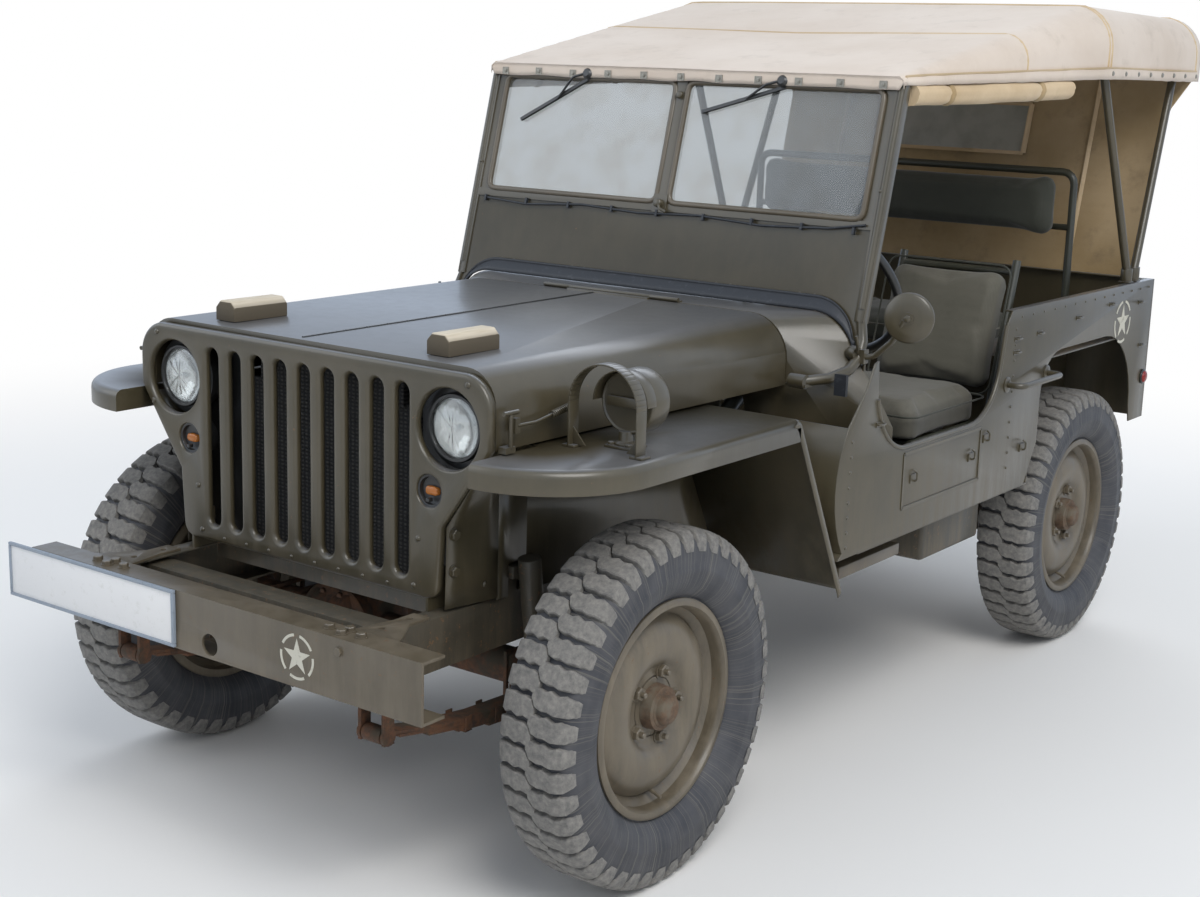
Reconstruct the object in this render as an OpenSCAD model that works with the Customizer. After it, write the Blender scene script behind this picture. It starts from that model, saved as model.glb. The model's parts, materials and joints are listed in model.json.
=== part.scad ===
// Open army 4x4 car with a canvas top.
// Working frame inside the modules: x = 0 on the centreline, y = 0 at the front axle and
// growing to the rear, z = 0 on the ground. placed() moves that frame so that the origin
// lies on the ground under the middle of the car. The front faces -Y, the left side is +X.

/* [Overall] */
// Distance between the axles
wheelbase = 2032; // [1900:1:2300]
// Distance between the middles of the left and right tyres
track = 1245; // [1200:1:1320]
// Outer half width of the body tub
body_half_w = 710; // [680:1:760]
// Height of the top edge of the body sides
body_top_z = 1010; // [980:1:1060]
// Height of the bottom edge of the body sides
body_bottom_z = 535; // [533:1:560]
// Thickness of body sheet metal
sheet = 4; // [3:0.5:6]

/* [Wheels] */
// Outer radius of a tyre
tyre_r = 360; // [340:1:375]
// Width of a tyre
tyre_w = 165; // [150:1:180]
// Radius of the rim flange
rim_r = 222; // [205:1:235]
// Width over the rim flanges
rim_w = 120; // [110:1:135]
// Radius of the wheel spindles
spindle_r = 20; // [16:0.5:24]
// Radial running clearance of spindles, pins and shafts
running_gap = 0.06; // [0.02:0.01:0.1]
// Distance from the middle plane to each kingpin
kingpin_x = 505; // [495:1:515]
// Distance from the kingpin to the tie rod pin
steer_arm = 140; // [120:1:150]

/* [Frame] */
// Width over the frame rails
frame_w = 743; // [700:1:780]
// Height of a frame rail
rail_h = 105; // [90:1:115]
// Width of a frame rail
rail_w = 44; // [36:1:60]
// Length of the front bumper
bumper_w = 1090; // [1000:1:1200]
// Height of the front bumper
bumper_h = 118; // [100:1:140]
// Distance from the front axle to the front face of the bumper
bumper_y = 555; // [540:1:600]

/* [Hood and grille] */
// Distance from the front axle to the front of the grille
grille_y = 312; // [300:1:330]
// Half width of the grille at the headlamps
grille_half_w = 484; // [470:1:495]
// Height of the top of the grille
grille_top_z = 1034; // [1020:1:1036]
// Number of cooling slots
slot_count = 9; // [7:2:9]
// Spacing of the cooling slots
slot_pitch = 66; // [60:1:68]
// Width of a cooling slot
slot_w = 36; // [28:1:40]
// Radius of a headlamp hole in the grille
lamp_hole_r = 77; // [72:1:80]
// Distance of each headlamp from the middle plane
lamp_x = 380; // [375:1:390]
// Height of the headlamps
lamp_z = 920; // [915:1:930]
// Distance from the front axle to the rear edge of the hood
hood_rear_y = 690; // [680:1:720]
// Height of the hood at its rear edge
hood_rear_z = 1045; // [1040:1:1050]

/* [Windshield and top] */
// Half width over the windshield frame
ws_half_w = 611; // [600:1:615]
// Height of the windshield frame, along its slope
ws_h = 563; // [520:1:600]
// Angle by which the windshield leans back
ws_rake = 14.6; // [8:0.1:18]
// Half width of the canvas top over the bows
top_half_w = 715; // [690:1:730]
// Height of the canvas top at its crown
top_z = 1775; // [1740:1:1830]
// Height of the lower edge of the canvas sides
hem_z = 1585; // [1575:1:1600]
// Thickness of the canvas solids
canvas_t = 6; // [4:0.5:10]

/* [Hidden] */
$fn = 64;

olive = "#4b4a3a";
dark_olive = "#3a3a2e";
canvas_tan = "#c9b79c";
rubber = "#2c2e31";
rust = "#6b4430";
seat_green = "#3c4034";

seat_gap = 0.3;                 // pieces that rest on each other stay this far apart
axle_z = tyre_r;                // axle height, tyres just touch the ground
wheel_x = track / 2;            // middle plane of each left wheel
rail_in = frame_w / 2 - rail_w; // inner face of a left rail
rail_t = 5;                     // rail and crossmember wall
plate_t = 8;                    // number plate with its holder
spare_y = 2530;                 // front face of the spare tyre
rear_end = spare_y + tyre_w;
front_end = bumper_y + plate_t;
rear_panel_y = wheelbase + 413; // inside face of the rear panel
floor_z = 530.3;                // underside of the front floor
rear_floor_z = 620;             // underside of the rear floor
box_x = 460;                    // inner wall of the wheel boxes
box_z = 860;                    // top of the wheel boxes
riser_y = 1620;                 // where the rear floor begins
fender_z = 885;                 // top of the front fenders
fender_x = 722;                 // outer edge of the front fenders
apron_x = 386;                  // inner splash apron
cowl_rear_y = 832;              // rear edge of the cowl top
ws_y = 837;                     // foot of the windshield
ws_z = 1030;
column_foot = [358, 365, 600];
column_tilt = 34;               // column angle above level
column_l = 880;
seat_x = 445;                   // middle of each front seat
seat_pivot = [1095, 566];       // y and z of the passenger seat's hinge
spare_x = -330;
spare_z = 820;
king_r = 12;
tie_pin_r = 8;
tie_z = 65;                     // tie rod height above the axle
ball_r = 62;

// ---- shared shapes ----

module placed() translate([0, -(rear_end - front_end) / 2, 0]) children();

module both_sides() {
  children();
  mirror([1, 0, 0]) children();
}

// a y-z outline as a sheet of thickness t, from x0 outwards
module side_sheet(x0, t) translate([x0, 0, 0]) rotate([90, 0, 90]) linear_extrude(t) children();

// an x-z outline as a sheet of thickness t, from y0 to the rear
module cross_sheet(y0, t) translate([0, y0 + t, 0]) rotate([90, 0, 0]) linear_extrude(t) children();

// cylinders along x, y and z
module x_cyl(x0, x1, r) translate([x0, 0, 0]) rotate([0, 90, 0]) cylinder(r = r, h = x1 - x0);
module y_cyl(y0, y1, r) translate([0, y0, 0]) rotate([-90, 0, 0]) cylinder(r = r, h = y1 - y0);

// a block given by its two corners
module block(a, b) translate(a) cube(b - a);

// a straight round bar between two points
module bar(a, b, r) {
  d = b - a;
  translate(a) rotate([0, acos(d[2] / norm(d)), atan2(d[1], d[0])]) cylinder(r = r, h = norm(d), $fn = 24);
}

function unit(v) = v / norm(v);

// a path through the points with each inner corner rounded to radius b
bend_steps = 4;
function rounded(points, b) = concat([points[0]], [for (i = [1 : len(points) - 2])
  let (u = unit(points[i] - points[i - 1]), v = unit(points[i + 1] - points[i]), turn = acos(u * v),
       middle = points[i] + unit(v - u) * b / cos(turn / 2),
       out = unit(points[i] - u * b * tan(turn / 2) - middle))
  for (k = [0 : bend_steps]) middle + b * (cos(turn * k / bend_steps) * out + sin(turn * k / bend_steps) * u)],
  [points[len(points) - 1]]);

// direction of a path at point i, and a side vector carried along it without twist
function along(path, i) = unit((i > 0 ? unit(path[i] - path[i - 1]) : [0, 0, 0])
                               + (i < len(path) - 1 ? unit(path[i + 1] - path[i]) : [0, 0, 0]));
function sides_of(path, n, i = 0) = i == len(path) ? [] :
  let (t = along(path, i), m = unit(n - (n * t) * t)) concat([m], sides_of(path, m, i + 1));

// a round tube along a path of points, bent to radius b at each inner one
tube_sides = 16;
module tube(points, r, b) {
  path = rounded(points, b);
  t0 = along(path, 0);
  side = sides_of(path, abs(t0[0]) < 0.7 ? [1, 0, 0] : [0, 1, 0]);
  s = tube_sides;
  last = (len(path) - 1) * s;
  polyhedron([for (i = [0 : len(path) - 1], k = [0 : s - 1])
                path[i] + r * (cos(360 * k / s) * side[i] + sin(360 * k / s) * cross(along(path, i), side[i]))],
             concat([[for (k = [0 : s - 1]) k], [for (k = [s - 1 : -1 : 0]) last + k]],
                    [for (i = [0 : len(path) - 2], k = [0 : s - 1]) let (a = i * s + k, b = i * s + (k + 1) % s)
                      each [[a, a + s, b + s], [a, b + s, b]]]));
}

function arc(cx, cy, r, from, to, steps = 6) =
  [for (i = [0 : steps]) let (a = from + (to - from) * i / steps) [cx + r * cos(a), cy + r * sin(a)]];

function mirrored(points) = [for (i = [len(points) - 1 : -1 : 0]) [-points[i][0], points[i][1]]];

// the same outline on both sides of x = 0, from a list of right-hand points going up
function closed_pair(points) = concat(points, mirrored(points));

// ---- chassis ----

// y and lower edge of the rails
rail_line = [[-bumper_y + 61, 455], [250, 455], [520, 425], [1620, 425], [1840, 490], [wheelbase + 408, 490]];

function rail_outline(inset) = concat(
  [for (p = rail_line) [p[0], p[1] + inset]],
  [for (i = [len(rail_line) - 1 : -1 : 0]) [rail_line[i][0], rail_line[i][1] + rail_h - inset]]);

// y, depth, lower edge, upper edge of each crossmember
crossmembers = [[-420, 60, 465, 545], [-215, 40, 515, 560], [190, 40, 442, 479.7],
                [860, 50, 402, 449.7], [1500, 50, 440, 520], [2340, 100, 500, 585]];

module frame() color(olive) {
  both_sides() difference() {
    side_sheet(rail_in, rail_w) polygon(rail_outline(0));
    side_sheet(rail_in - 1, rail_w - rail_t + 1) polygon(rail_outline(rail_t));
  }
  for (m = crossmembers)
    block([-frame_w / 2 + rail_t / 2, m[0], m[2]], [frame_w / 2 - rail_t / 2, m[0] + m[1], m[3]]);
  // spring hangers, two cheeks at each fixed eye
  both_sides() for (y = [spring_half, wheelbase - spring_half]) {
    for (x = [spring_x - 34, spring_x + 26]) block([x, y - 25, spring_eye_z - 22], [x + 8, y + 25, 430]);
    block([spring_x - 34, y - 25, 418], [spring_x + 34, y + 25, 442]);
  }
  // upper shock brackets on the outside of the rails
  both_sides() for (p = shocks) {
    block([frame_w / 2 - rail_t, p[0] - 20, p[3] - 45], [shock_x - shock_r - 2 * seat_gap, p[0] + 20, p[3] - 20]);
    block([frame_w / 2 - 24, p[0] - 20, 550], [frame_w / 2, p[0] + 20, p[3] - 20]);
  }
}

module front_bumper() color(olive) difference() {
  z0 = 453;
  union() {
    difference() {
      block([-bumper_w / 2, -bumper_y, z0], [bumper_w / 2, -bumper_y + 60, z0 + bumper_h]);
      block([-bumper_w / 2 - 1, -bumper_y + 6, z0 + 6], [bumper_w / 2 + 1, -bumper_y + 61, z0 + bumper_h - 6]);
    }
    // gusset plates on top of the rails
    both_sides() translate([0, 0, 560 + seat_gap]) linear_extrude(z0 + bumper_h - 6 - 560 + 0.2)
      polygon([[300, -bumper_y + 5], [470, -bumper_y + 5], [frame_w / 2, -400], [frame_w / 2, -345],
               [rail_in + 4, -345], [rail_in + 4, -400]]);
  }
  translate([0, 0, 481]) y_cyl(-bumper_y - 1, -bumper_y + 7, 22);
  // frame bolts through the gussets
  both_sides() for (y = [-450, -375]) translate([frame_w / 2 - rail_w / 2, y, 550]) cylinder(r = 6.5, h = 30);
}

module number_plate() color("white")
  block([-615, -bumper_y - plate_t, 456], [-95, -bumper_y - seat_gap, 571]);

// ---- axles, springs, drive line ----

spring_x = 345;
spring_w = 45;
spring_eye_z = axle_z + 3;
spring_half = 460;
spring_sag = 48;
leaf_t = 6;
// half length of each leaf, from the top one down
leaves = [460, 420, 340, 255, 165];
axle_tube_r = 38;
pad_z = axle_z - 38;            // underside of the spring pads
diff_x = -160;
shock_x = 418;
shock_r = 23;
// y and z of the upper and lower end of each left shock absorber: y_top, y_low, z_low, z_top
shocks = [[-110, -62, 295, 640], [wheelbase - 160, wheelbase - 70, 295, 612]];

// radius and x of the axle tube with the bulge of the differential
bulge = [[axle_tube_r, diff_x - 92], [70, diff_x - 78], [112, diff_x - 50],
         [112, diff_x + 50], [70, diff_x + 78], [axle_tube_r, diff_x + 92]];

module axle_housing(side, outline) {
  rotate([90, 0, 90]) rotate_extrude() polygon(outline);
  for (x = [-spring_x, spring_x]) block([x - 26, -45, -38], [x + 26, 45, -10]);
  translate([diff_x, 0, 0]) y_cyl(side > 0 ? 60 : -215, side > 0 ? 215 : -60, 45);
}

// the ball at the left-hand end, down to where it meets the tube
ball_meets = asin(axle_tube_r / ball_r);
ball_end = concat([[0, -kingpin_x - ball_r]], [for (i = [1 : 8]) let (a = 180 - (180 - ball_meets) * i / 8)
  [ball_r * sin(a), -kingpin_x + ball_r * cos(a)]]);

// an axle outline seen from its other end
function flipped(points) = [for (i = [len(points) - 1 : -1 : 0]) [points[i][0], -points[i][1]]];

module front_axle() color(rust) translate([0, 0, axle_z]) difference() {
  axle_housing(1, concat(ball_end, bulge, flipped(ball_end)));
  both_sides() translate([kingpin_x, 0, -ball_r - 1]) cylinder(r = king_r + running_gap, h = 2 * ball_r + 2);
}

module brake_plate_and_spindle() {
  x_cyl(wheel_x - 56.5, wheel_x - 50.5, 124);
  x_cyl(wheel_x - 56.5, wheel_x + 57, spindle_r);
}

module rear_axle() color(rust) translate([0, wheelbase, axle_z]) {
  tube_end = [[0, -wheel_x + 54], [46, -wheel_x + 54], [46, -490], [axle_tube_r, -470]];
  axle_housing(-1, concat(tube_end, bulge, flipped(tube_end)));
  both_sides() brake_plate_and_spindle();
}

// the leaves are flat over spring_flat each way from the axle, then curve up
spring_flat = 54;
function leaf_y(half, i) = i == 0 ? 0 : sign(i) * (spring_flat + (half - spring_flat) * (abs(i) - 1) / 3);
function leaf_z(y) = -spring_sag * (1 - pow(max(0, abs(y) - spring_flat) / (spring_half - spring_flat), 2));

module leaf(half, below) side_sheet(-spring_w / 2, spring_w) polygon(concat(
  [for (i = [-4 : 4]) [leaf_y(half, i), leaf_z(leaf_y(half, i)) - below]],
  [for (i = [4 : -1 : -4]) [leaf_y(half, i), leaf_z(leaf_y(half, i)) - below - leaf_t]]));

module leaf_spring(y, shackle) {
  top = pad_z + spring_sag - seat_gap;
  translate([spring_x, y, 0]) {
    difference() {
      union() {
        for (i = [0 : len(leaves) - 1]) translate([0, 0, top]) leaf(leaves[i], i * (leaf_t - 0.01));
        for (s = [-1, 1]) translate([-spring_w / 2, s * spring_half, spring_eye_z]) x_cyl(0, spring_w, 17);
      }
      for (s = [-1, 1]) translate([-spring_w / 2 - 1, s * spring_half, spring_eye_z]) x_cyl(0, spring_w + 2, 8);
    }
    // spring plate and U-bolts under the axle
    block([-30, -52, pad_z - 42], [70, 52, pad_z - 5 * leaf_t]);
    for (x = [-38, 30]) {
      for (s = [-50, 42]) block([x, s, pad_z - 42], [x + 8, s + 8, axle_z + axle_tube_r + 9]);
      block([x, -50, axle_z + axle_tube_r + seat_gap], [x + 8, 50, axle_z + axle_tube_r + 9]);
    }
    // shackle with its pins at the free end
    translate([0, shackle * spring_half, spring_eye_z]) {
      x_cyl(-34, 34, 7.9);
      for (x = [-34, 26]) translate([x, 0, 0]) {
        block([0, -13, -15], [8, 13, 455 - spring_eye_z - seat_gap]);
        x_cyl(0, 8, 17);
      }
    }
  }
}

module leaf_springs() color(rust) both_sides() {
  leaf_spring(0, -1);
  leaf_spring(wheelbase, 1);
}

module shock_absorbers() color(dark_olive) both_sides() for (s = shocks) {
  low = [shock_x, s[1], s[2]];
  high = [shock_x, s[0], s[3]];
  middle = low + (high - low) * 0.5;
  bar(low, high, 10);
  bar(middle, high, shock_r);
  bar(low + (high - low) * 0.12, middle, shock_r - 5);
}

module engine() color("#3f4238") {
  block([-140, -60, 560], [170, 500, 900]);
  block([-120, 30, 480], [150, 500, 560]);
  block([-60, -140, 600], [70, -60, 800]);
}

module gearbox() color("#3f4238") {
  translate([0, 0, 580]) y_cyl(500 + seat_gap, 610, 150);
  block([-95, 600, 450], [95, 960, 650]);
  block([-265, 950, 300], [60, 1130, 522]);
}

module prop_shafts() color(dark_olive) translate([diff_x, 0, axle_z]) {
  for (s = [[215, 950], [1130, wheelbase - 215]]) {
    y_cyl(s[0] + seat_gap, s[1] - seat_gap, 24);
    for (y = [s[0] + seat_gap, s[1] - seat_gap - 45]) y_cyl(y, y + 45, 38);
  }
}

module exhaust() color(rust) {
  tube([[-140 - 20 - seat_gap, 430, 640], [-205, 500, 395], [-430, 720, 395], [-500, 1040, 440]], 20, 60);
  translate([-500, 0, 450]) y_cyl(1030, 1440, 58);
  for (y = [1100, 1380]) block([-506, y, 500], [-494, y + 20, floor_z - seat_gap]);
  tube([[-500, 1430, 450], [-530, 1520, 440], [-690, 1600, 430]], 20, 60);
}

tank_y = 1125;

module fuel_tank() color(olive) {
  block([255, tank_y, floor_z + sheet + seat_gap], [655, 1450, 670]);
  block([383, tank_y, 412], [655, 1450, 600]);
}

module radiator() color("#2b2b28") {
  block([-235, -225, 560 + seat_gap], [235, -165, 930]);
  block([-200, -235, 925], [200, -150, 1000]);
  translate([0, 0, 995]) translate([0, -190, 0]) cylinder(r = 30, h = 20);
}

// ---- front body ----

grille_side = concat(
  [[300, 585]], arc(330, 613, 28, -90, 0, 4),
  [[366, 730], [grille_half_w, 895]],
  arc(grille_half_w - 70, grille_top_z - 74, 70, 0, 82, 8));

module grille_holes(grow) {
  for (i = [0 : slot_count - 1]) translate([(i - (slot_count - 1) / 2) * slot_pitch, 0]) {
    for (z = [637, 975]) translate([0, z]) circle(r = slot_w / 2 + grow, $fn = 32);
    translate([-slot_w / 2 - grow, 637]) square([slot_w + 2 * grow, 338]);
  }
  for (s = [-1, 1]) {
    translate([s * lamp_x, lamp_z]) circle(r = lamp_hole_r + grow);
    translate([s * 336, 796]) circle(r = 31 + grow, $fn = 32);
  }
}

module grille() color(olive) {
  difference() {
    cross_sheet(-grille_y, 18) polygon(closed_pair(grille_side));
    cross_sheet(-grille_y + sheet, 18) offset(delta = -sheet) polygon(closed_pair(grille_side));
    cross_sheet(-grille_y - 1, sheet + 2) grille_holes(0);
  }
  // feet that bolt the grille to the rails
  both_sides() block([rail_in + 2, -grille_y + 0.5, 560 + seat_gap], [rail_in + 6, -grille_y + 60, 640]);
}

module headlamp() translate([lamp_x, 0, lamp_z]) rotate([-90, 0, 0]) rotate_extrude() polygon(concat(
  [[0, -grille_y - 3], [50, -grille_y + 2]],
  [[lamp_hole_r - 4, -grille_y + 10], [lamp_hole_r - 4, -grille_y + sheet + seat_gap]],
  [[lamp_hole_r + 3, -grille_y + sheet + seat_gap], [lamp_hole_r + 3, -grille_y + 34]],
  [[66, -grille_y + 80], [34, -grille_y + 118], [0, -grille_y + 124]]));

module headlamps() color("silver") both_sides() headlamp();

module small_lamp(r, depth) y_cyl(0, depth, r);

module marker_lamps() color("#4a3a22") {
  both_sides() translate([336, -grille_y + sheet + seat_gap, 796]) small_lamp(36, 45);
  // tail lamps under the body corners, with side reflectors
  both_sides() {
    translate([610, rear_panel_y + sheet + 2 * seat_gap, 735]) small_lamp(38, 50);
    translate([body_half_w + seat_gap, rear_panel_y - 22, 720]) x_cyl(0, 12, 22);
  }
}

// plan of the fender top, its curved edge set in by d
function fender_edge(d) = concat([[apron_x, 392], [apron_x, -175], [488, -175], [488, -376 + d]],
                                 arc(492, -146, 230 - d, -90, 0, 10), [[fender_x - d, 392]]);

module fenders() color(olive) both_sides() {
  lip = 46;
  difference() {
    translate([0, 0, fender_z - lip]) linear_extrude(lip) polygon(fender_edge(0));
    translate([0, 0, fender_z - lip - 1]) linear_extrude(lip - sheet + 1) difference() {
      polygon(fender_edge(sheet));
      translate([0, 385]) square([900, 20]);
    }
  }
  // slanting tail with an outer lip
  difference() {
    side_sheet(apron_x, fender_x - apron_x) polygon([[388, fender_z], [400, fender_z], [618, 470], [590, 470], [378, 850]]);
    side_sheet(apron_x - 1, fender_x - apron_x + 1 - sheet)
      polygon([[388 - sheet, fender_z - sheet], [396, fender_z - sheet], [614, 469], [580, 469], [368, 850]]);
  }
  // inner splash apron, with a flange that stands on the rail
  difference() {
    union() {
      block([rail_in + 6, -150, 560 + seat_gap], [apron_x + 1, 240, 560 + seat_gap + sheet]);
    side_sheet(apron_x, sheet) polygon([[-170, 562], [470, 562], [520, 470], [616, 470], [400, fender_z - 1],
                                        [-170, fender_z - 1]]);
    }
    block([rail_in, shocks[0][0] - 26, 550], [apron_x + sheet + 1, shocks[0][0] + 26, shocks[0][3] - 14]);
  }
}

// driving lamp on the left fender, with its hoop guard
lamp_at = [612, -70];

module blackout_lamp() color(olive) translate([lamp_at[0], lamp_at[1], fender_z + seat_gap]) {
  rotate([-90, 0, 0]) translate([0, -85, 0]) {
    cylinder(r = 62, h = 60);
    translate([0, 0, -25]) cylinder(r = 64, h = 25);
    translate([0, 0, 60]) cylinder(r = 40, h = 25);
  }
  cylinder(r = 14, h = 40);
  block([-30, -28, 0], [30, 28, 5]);
  // flat hoop in front of the lamp, with feet on the fender
  translate([0, -62, 0]) {
    cross_sheet(-15, 30) difference() {
      union() { translate([0, 85]) circle(r = 80); translate([-80, 0]) square([160, 85]); }
      union() { translate([0, 85]) circle(r = 75); translate([-75, -1]) square([150, 86]); }
    }
    for (s = [-1, 1]) block([s * 78 - 14, -15, 0], [s * 78 + 14, 15, 5]);
  }
}

// hood section: flat top, round shoulders, straight sides down to low_z
function hood_section(half_w, top, r, low_z) = closed_pair(concat(
  [[half_w, low_z]], arc(half_w - r, top - r, r, 0, 90, 8)));

module skin(y0, front, y1, rear) hull() {
  cross_sheet(y0, 0.1) polygon(front);
  cross_sheet(y1 - 0.1, 0.1) polygon(rear);
}

hood_front_y = -grille_y + 23;
hood_low_z = fender_z + 5;
hood_half_f = 479;
hood_half_r = 500;

hinge_y = hood_rear_y + 3;
hinge_z = hood_rear_z + 6;
hinge_r = 5;
hinge_pin_r = 2.5;

// a barrel of the hood hinge, with the leaf that joins it to its panel at reach
module hinge_barrel(x0, x1, reach, bored) translate([0, hinge_y, hinge_z]) difference() {
  union() {
    x_cyl(x0, x1, hinge_r);
    block([x0, min(0, reach), -8], [x1, max(0, reach), -2]);
  }
  if (bored) x_cyl(x0 - 1, x1 + 1, hinge_pin_r + running_gap);
}

module hood() color(olive) {
  difference() {
    skin(hood_front_y, hood_section(hood_half_f, grille_top_z + 4, 70, hood_low_z),
         hood_rear_y, hood_section(hood_half_r, hood_rear_z, 100, hood_low_z));
    skin(hood_front_y - 1, hood_section(hood_half_f - sheet, grille_top_z + 4 - sheet, 66, hood_low_z - 5),
         hood_rear_y + 1, hood_section(hood_half_r - sheet, hood_rear_z - sheet, 96, hood_low_z - 5));
  }
  hinge_barrel(-119.7, 119.7, -13, true);
  // rolled front edge that meets the grille flange
  cross_sheet(hood_front_y, sheet) difference() {
    polygon(hood_section(hood_half_f - 2, grille_top_z + 2, 68, hood_low_z));
    polygon(hood_section(hood_half_f - 14, grille_top_z - 10, 60, hood_low_z - 5));
  }
}

block_y = -244;
block_l = 147;
block_w = 56;
block_h = 42;
function hood_top(y) = grille_top_z + 4 + (hood_rear_z - grille_top_z - 4) * (y - hood_front_y) / (hood_rear_y - hood_front_y);

module hood_blocks() color("#b08c5a") both_sides()
  translate([295 - block_w / 2, block_y, hood_top(block_y + block_l) + seat_gap]) cube([block_w, block_l, block_h]);

// ---- tub ----

function cowl_rear_section(d) = closed_pair(concat(
  [[body_half_w - sheet - seat_gap - d, 600 - 2 * d], [body_half_w - sheet - seat_gap - d, 800 - d]],
  arc(490, hood_rear_z - 110, 110 - d, 20, 90, 7)));

module column_hole() on_column() translate([0, 0, 60]) cylinder(r = 34, h = 640);

module cowl() color(olive) difference() {
  union() {
    difference() {
      skin(hood_rear_y + 6, hood_section(hood_half_r, hood_rear_z, 100, 600), cowl_rear_y, cowl_rear_section(0));
      skin(hood_rear_y + 5, hood_section(hood_half_r - sheet, hood_rear_z - sheet, 96, 590),
           cowl_rear_y + 1, cowl_rear_section(sheet));
    }
    // firewall, wider than the engine bay
    cross_sheet(hood_rear_y + 6, sheet) polygon(hood_section(hood_half_r - 1, hood_rear_z - 1, 99, 600));
    // dash panel with a rolled lower edge
    cross_sheet(cowl_rear_y - sheet, sheet) difference() {
      polygon(cowl_rear_section(1));
      translate([-800, 560]) square([1600, 310]);
    }
    // fixed barrels and the pin of the hood hinge
    for (x = [-200, 120]) hinge_barrel(x, x + 80, 16, false);
    translate([0, hinge_y, hinge_z]) x_cyl(-200, 200, hinge_pin_r);
  }
  column_hole();
  // notch over the gearbox tunnel
  cross_sheet(hood_rear_y, 20) tunnel_outline(-1);
}

module tunnel_outline(d) polygon([[-190 + d, floor_z - d], [190 - d, floor_z - d], [150 - d, 680 - d], [-150 + d, 680 - d]]);

module floor() color(olive) difference() {
  union() {
    block([-body_half_w + sheet + seat_gap, hood_rear_y + 10, floor_z],
          [body_half_w - sheet - seat_gap, riser_y, floor_z + sheet]);
    cross_sheet(riser_y - sheet, sheet) translate([-box_x, floor_z]) square([2 * box_x, rear_floor_z - floor_z + sheet]);
    block([-box_x, riser_y - sheet, rear_floor_z], [box_x, rear_panel_y - seat_gap, rear_floor_z + sheet]);
    // gearbox tunnel
    difference() {
      cross_sheet(hood_rear_y + 10, 470) tunnel_outline(0);
      cross_sheet(hood_rear_y + 9, 472 - sheet) tunnel_outline(sheet);
    }
    // sloping toe boards
    side_sheet(-488, 976) polygon([[800, floor_z + 1], [806, floor_z + 1], [hood_rear_y + 17, 700], [hood_rear_y + 11, 700]]);
    // wheel boxes with the seat lockers on top
    both_sides() {
      block([box_x - sheet, riser_y, rear_floor_z], [box_x, rear_panel_y - seat_gap, box_z]);
      block([box_x - sheet, riser_y, box_z - sheet], [body_half_w - sheet - seat_gap, rear_panel_y - seat_gap, box_z]);
      block([box_x - sheet, riser_y - sheet, floor_z], [body_half_w - sheet - seat_gap, riser_y, box_z]);
    }
    // hinge brackets of the passenger seat
    for (x = seat_brackets) translate([x, 0, 0]) difference() {
      union() {
        block([-3, seat_pivot[0] - 18, floor_z + 1], [3, seat_pivot[0] + 18, seat_pivot[1]]);
        translate([0, seat_pivot[0], seat_pivot[1]]) x_cyl(-3, 3, 18);
      }
      translate([0, seat_pivot[0], seat_pivot[1]]) x_cyl(-4, 4, tube_r + running_gap);
    }
  }
  // under the tunnel, for the tank, the gearbox and the steering column
  block([-186, hood_rear_y, floor_z - 1], [186, hood_rear_y + 480 - sheet, floor_z + sheet + 2]);
  block([383 - 3, tank_y - 3, floor_z - 1], [658, 1453, floor_z + sheet + 1]);
  cross_sheet(hood_rear_y, 200) tunnel_outline(sheet);
  column_hole();
}

// door cut and wheel arch of a body side, as y-z points
side_outline = concat(
  [[600, body_bottom_z]],
  arc(820, 690, 246, 215, 145, 8),
  [[690, 905], [722, 960], [740, 966]],
  arc(905, 905, 160, 180, 262, 8),
  [[1230, 745]],
  arc(1235, 905, 160, -90, -8, 8),
  [[1412, 975], [1440, body_top_z], [rear_panel_y, body_top_z], [rear_panel_y, 595], [2338, 595]],
  arc(wheelbase + 63, 645, 230, 0, 90, 8),
  arc(1775, 755, 120, 90, 180, 6),
  [[1655, 640], [1590, body_bottom_z]]);

module side_panels() color(olive) both_sides() {
  side_sheet(body_half_w - sheet, sheet) polygon(side_outline);
  // top rail, from the door cut to the rear
  block([body_half_w - 22, 1440, body_top_z - sheet], [body_half_w - 1, rear_panel_y, body_top_z]);
  // front return of the body side, curved like its edge
  intersection() {
    side_sheet(520, body_half_w - 521) difference() {
      polygon(concat([[600, body_bottom_z]], arc(820, 690, 246, 215, 145, 8), [[700, 831], [700, body_bottom_z]]));
      polygon(concat([[600 + sheet, body_bottom_z - 1]], arc(820 + sheet, 690, 246, 215, 145, 8),
                     [[710, 840], [710, body_bottom_z - 1]]));
    }
    block([520, 560, body_bottom_z], [body_half_w, 640, 840]);
  }
}

module rear_panel() color(olive) {
  translate([0, seat_gap, 0]) {
    cross_sheet(rear_panel_y, sheet) polygon(closed_pair([[body_half_w, 595], [body_half_w, body_top_z]]));
    block([-body_half_w + 24, rear_panel_y - 18, body_top_z - sheet], [body_half_w - 24, rear_panel_y, body_top_z]);
  }
  // spare wheel carrier
  translate([spare_x, 0, spare_z]) {
    block([-60, rear_panel_y + sheet, -100], [60, spare_y - 1, -20]);
    y_cyl(rear_panel_y + sheet, spare_disc_y - seat_gap, 62);
    y_cyl(rear_panel_y + sheet, spare_disc_y + 30, spindle_r - 1);
  }
}

module side_steps() color(olive) both_sides() {
  block([540, 700, 462], [662, 990, 490]);
  for (y = [730, 930]) block([560, y, 485], [600, y + 30, floor_z - seat_gap]);
}

module handle(half, reach, r) tube([[-half, 0, 0], [-half, reach, 0], [half, reach, 0], [half, 0, 0]], r, 2.5 * r);

module grab_handles() color(olive) {
  both_sides() {
    translate([body_half_w + seat_gap, 1560, 822]) rotate([0, 0, -90]) handle(125, 44, 8);
    translate([540, rear_panel_y + sheet + 2 * seat_gap, 930]) handle(75, 48, 8);
  }
}

// ---- windshield ----

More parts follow.
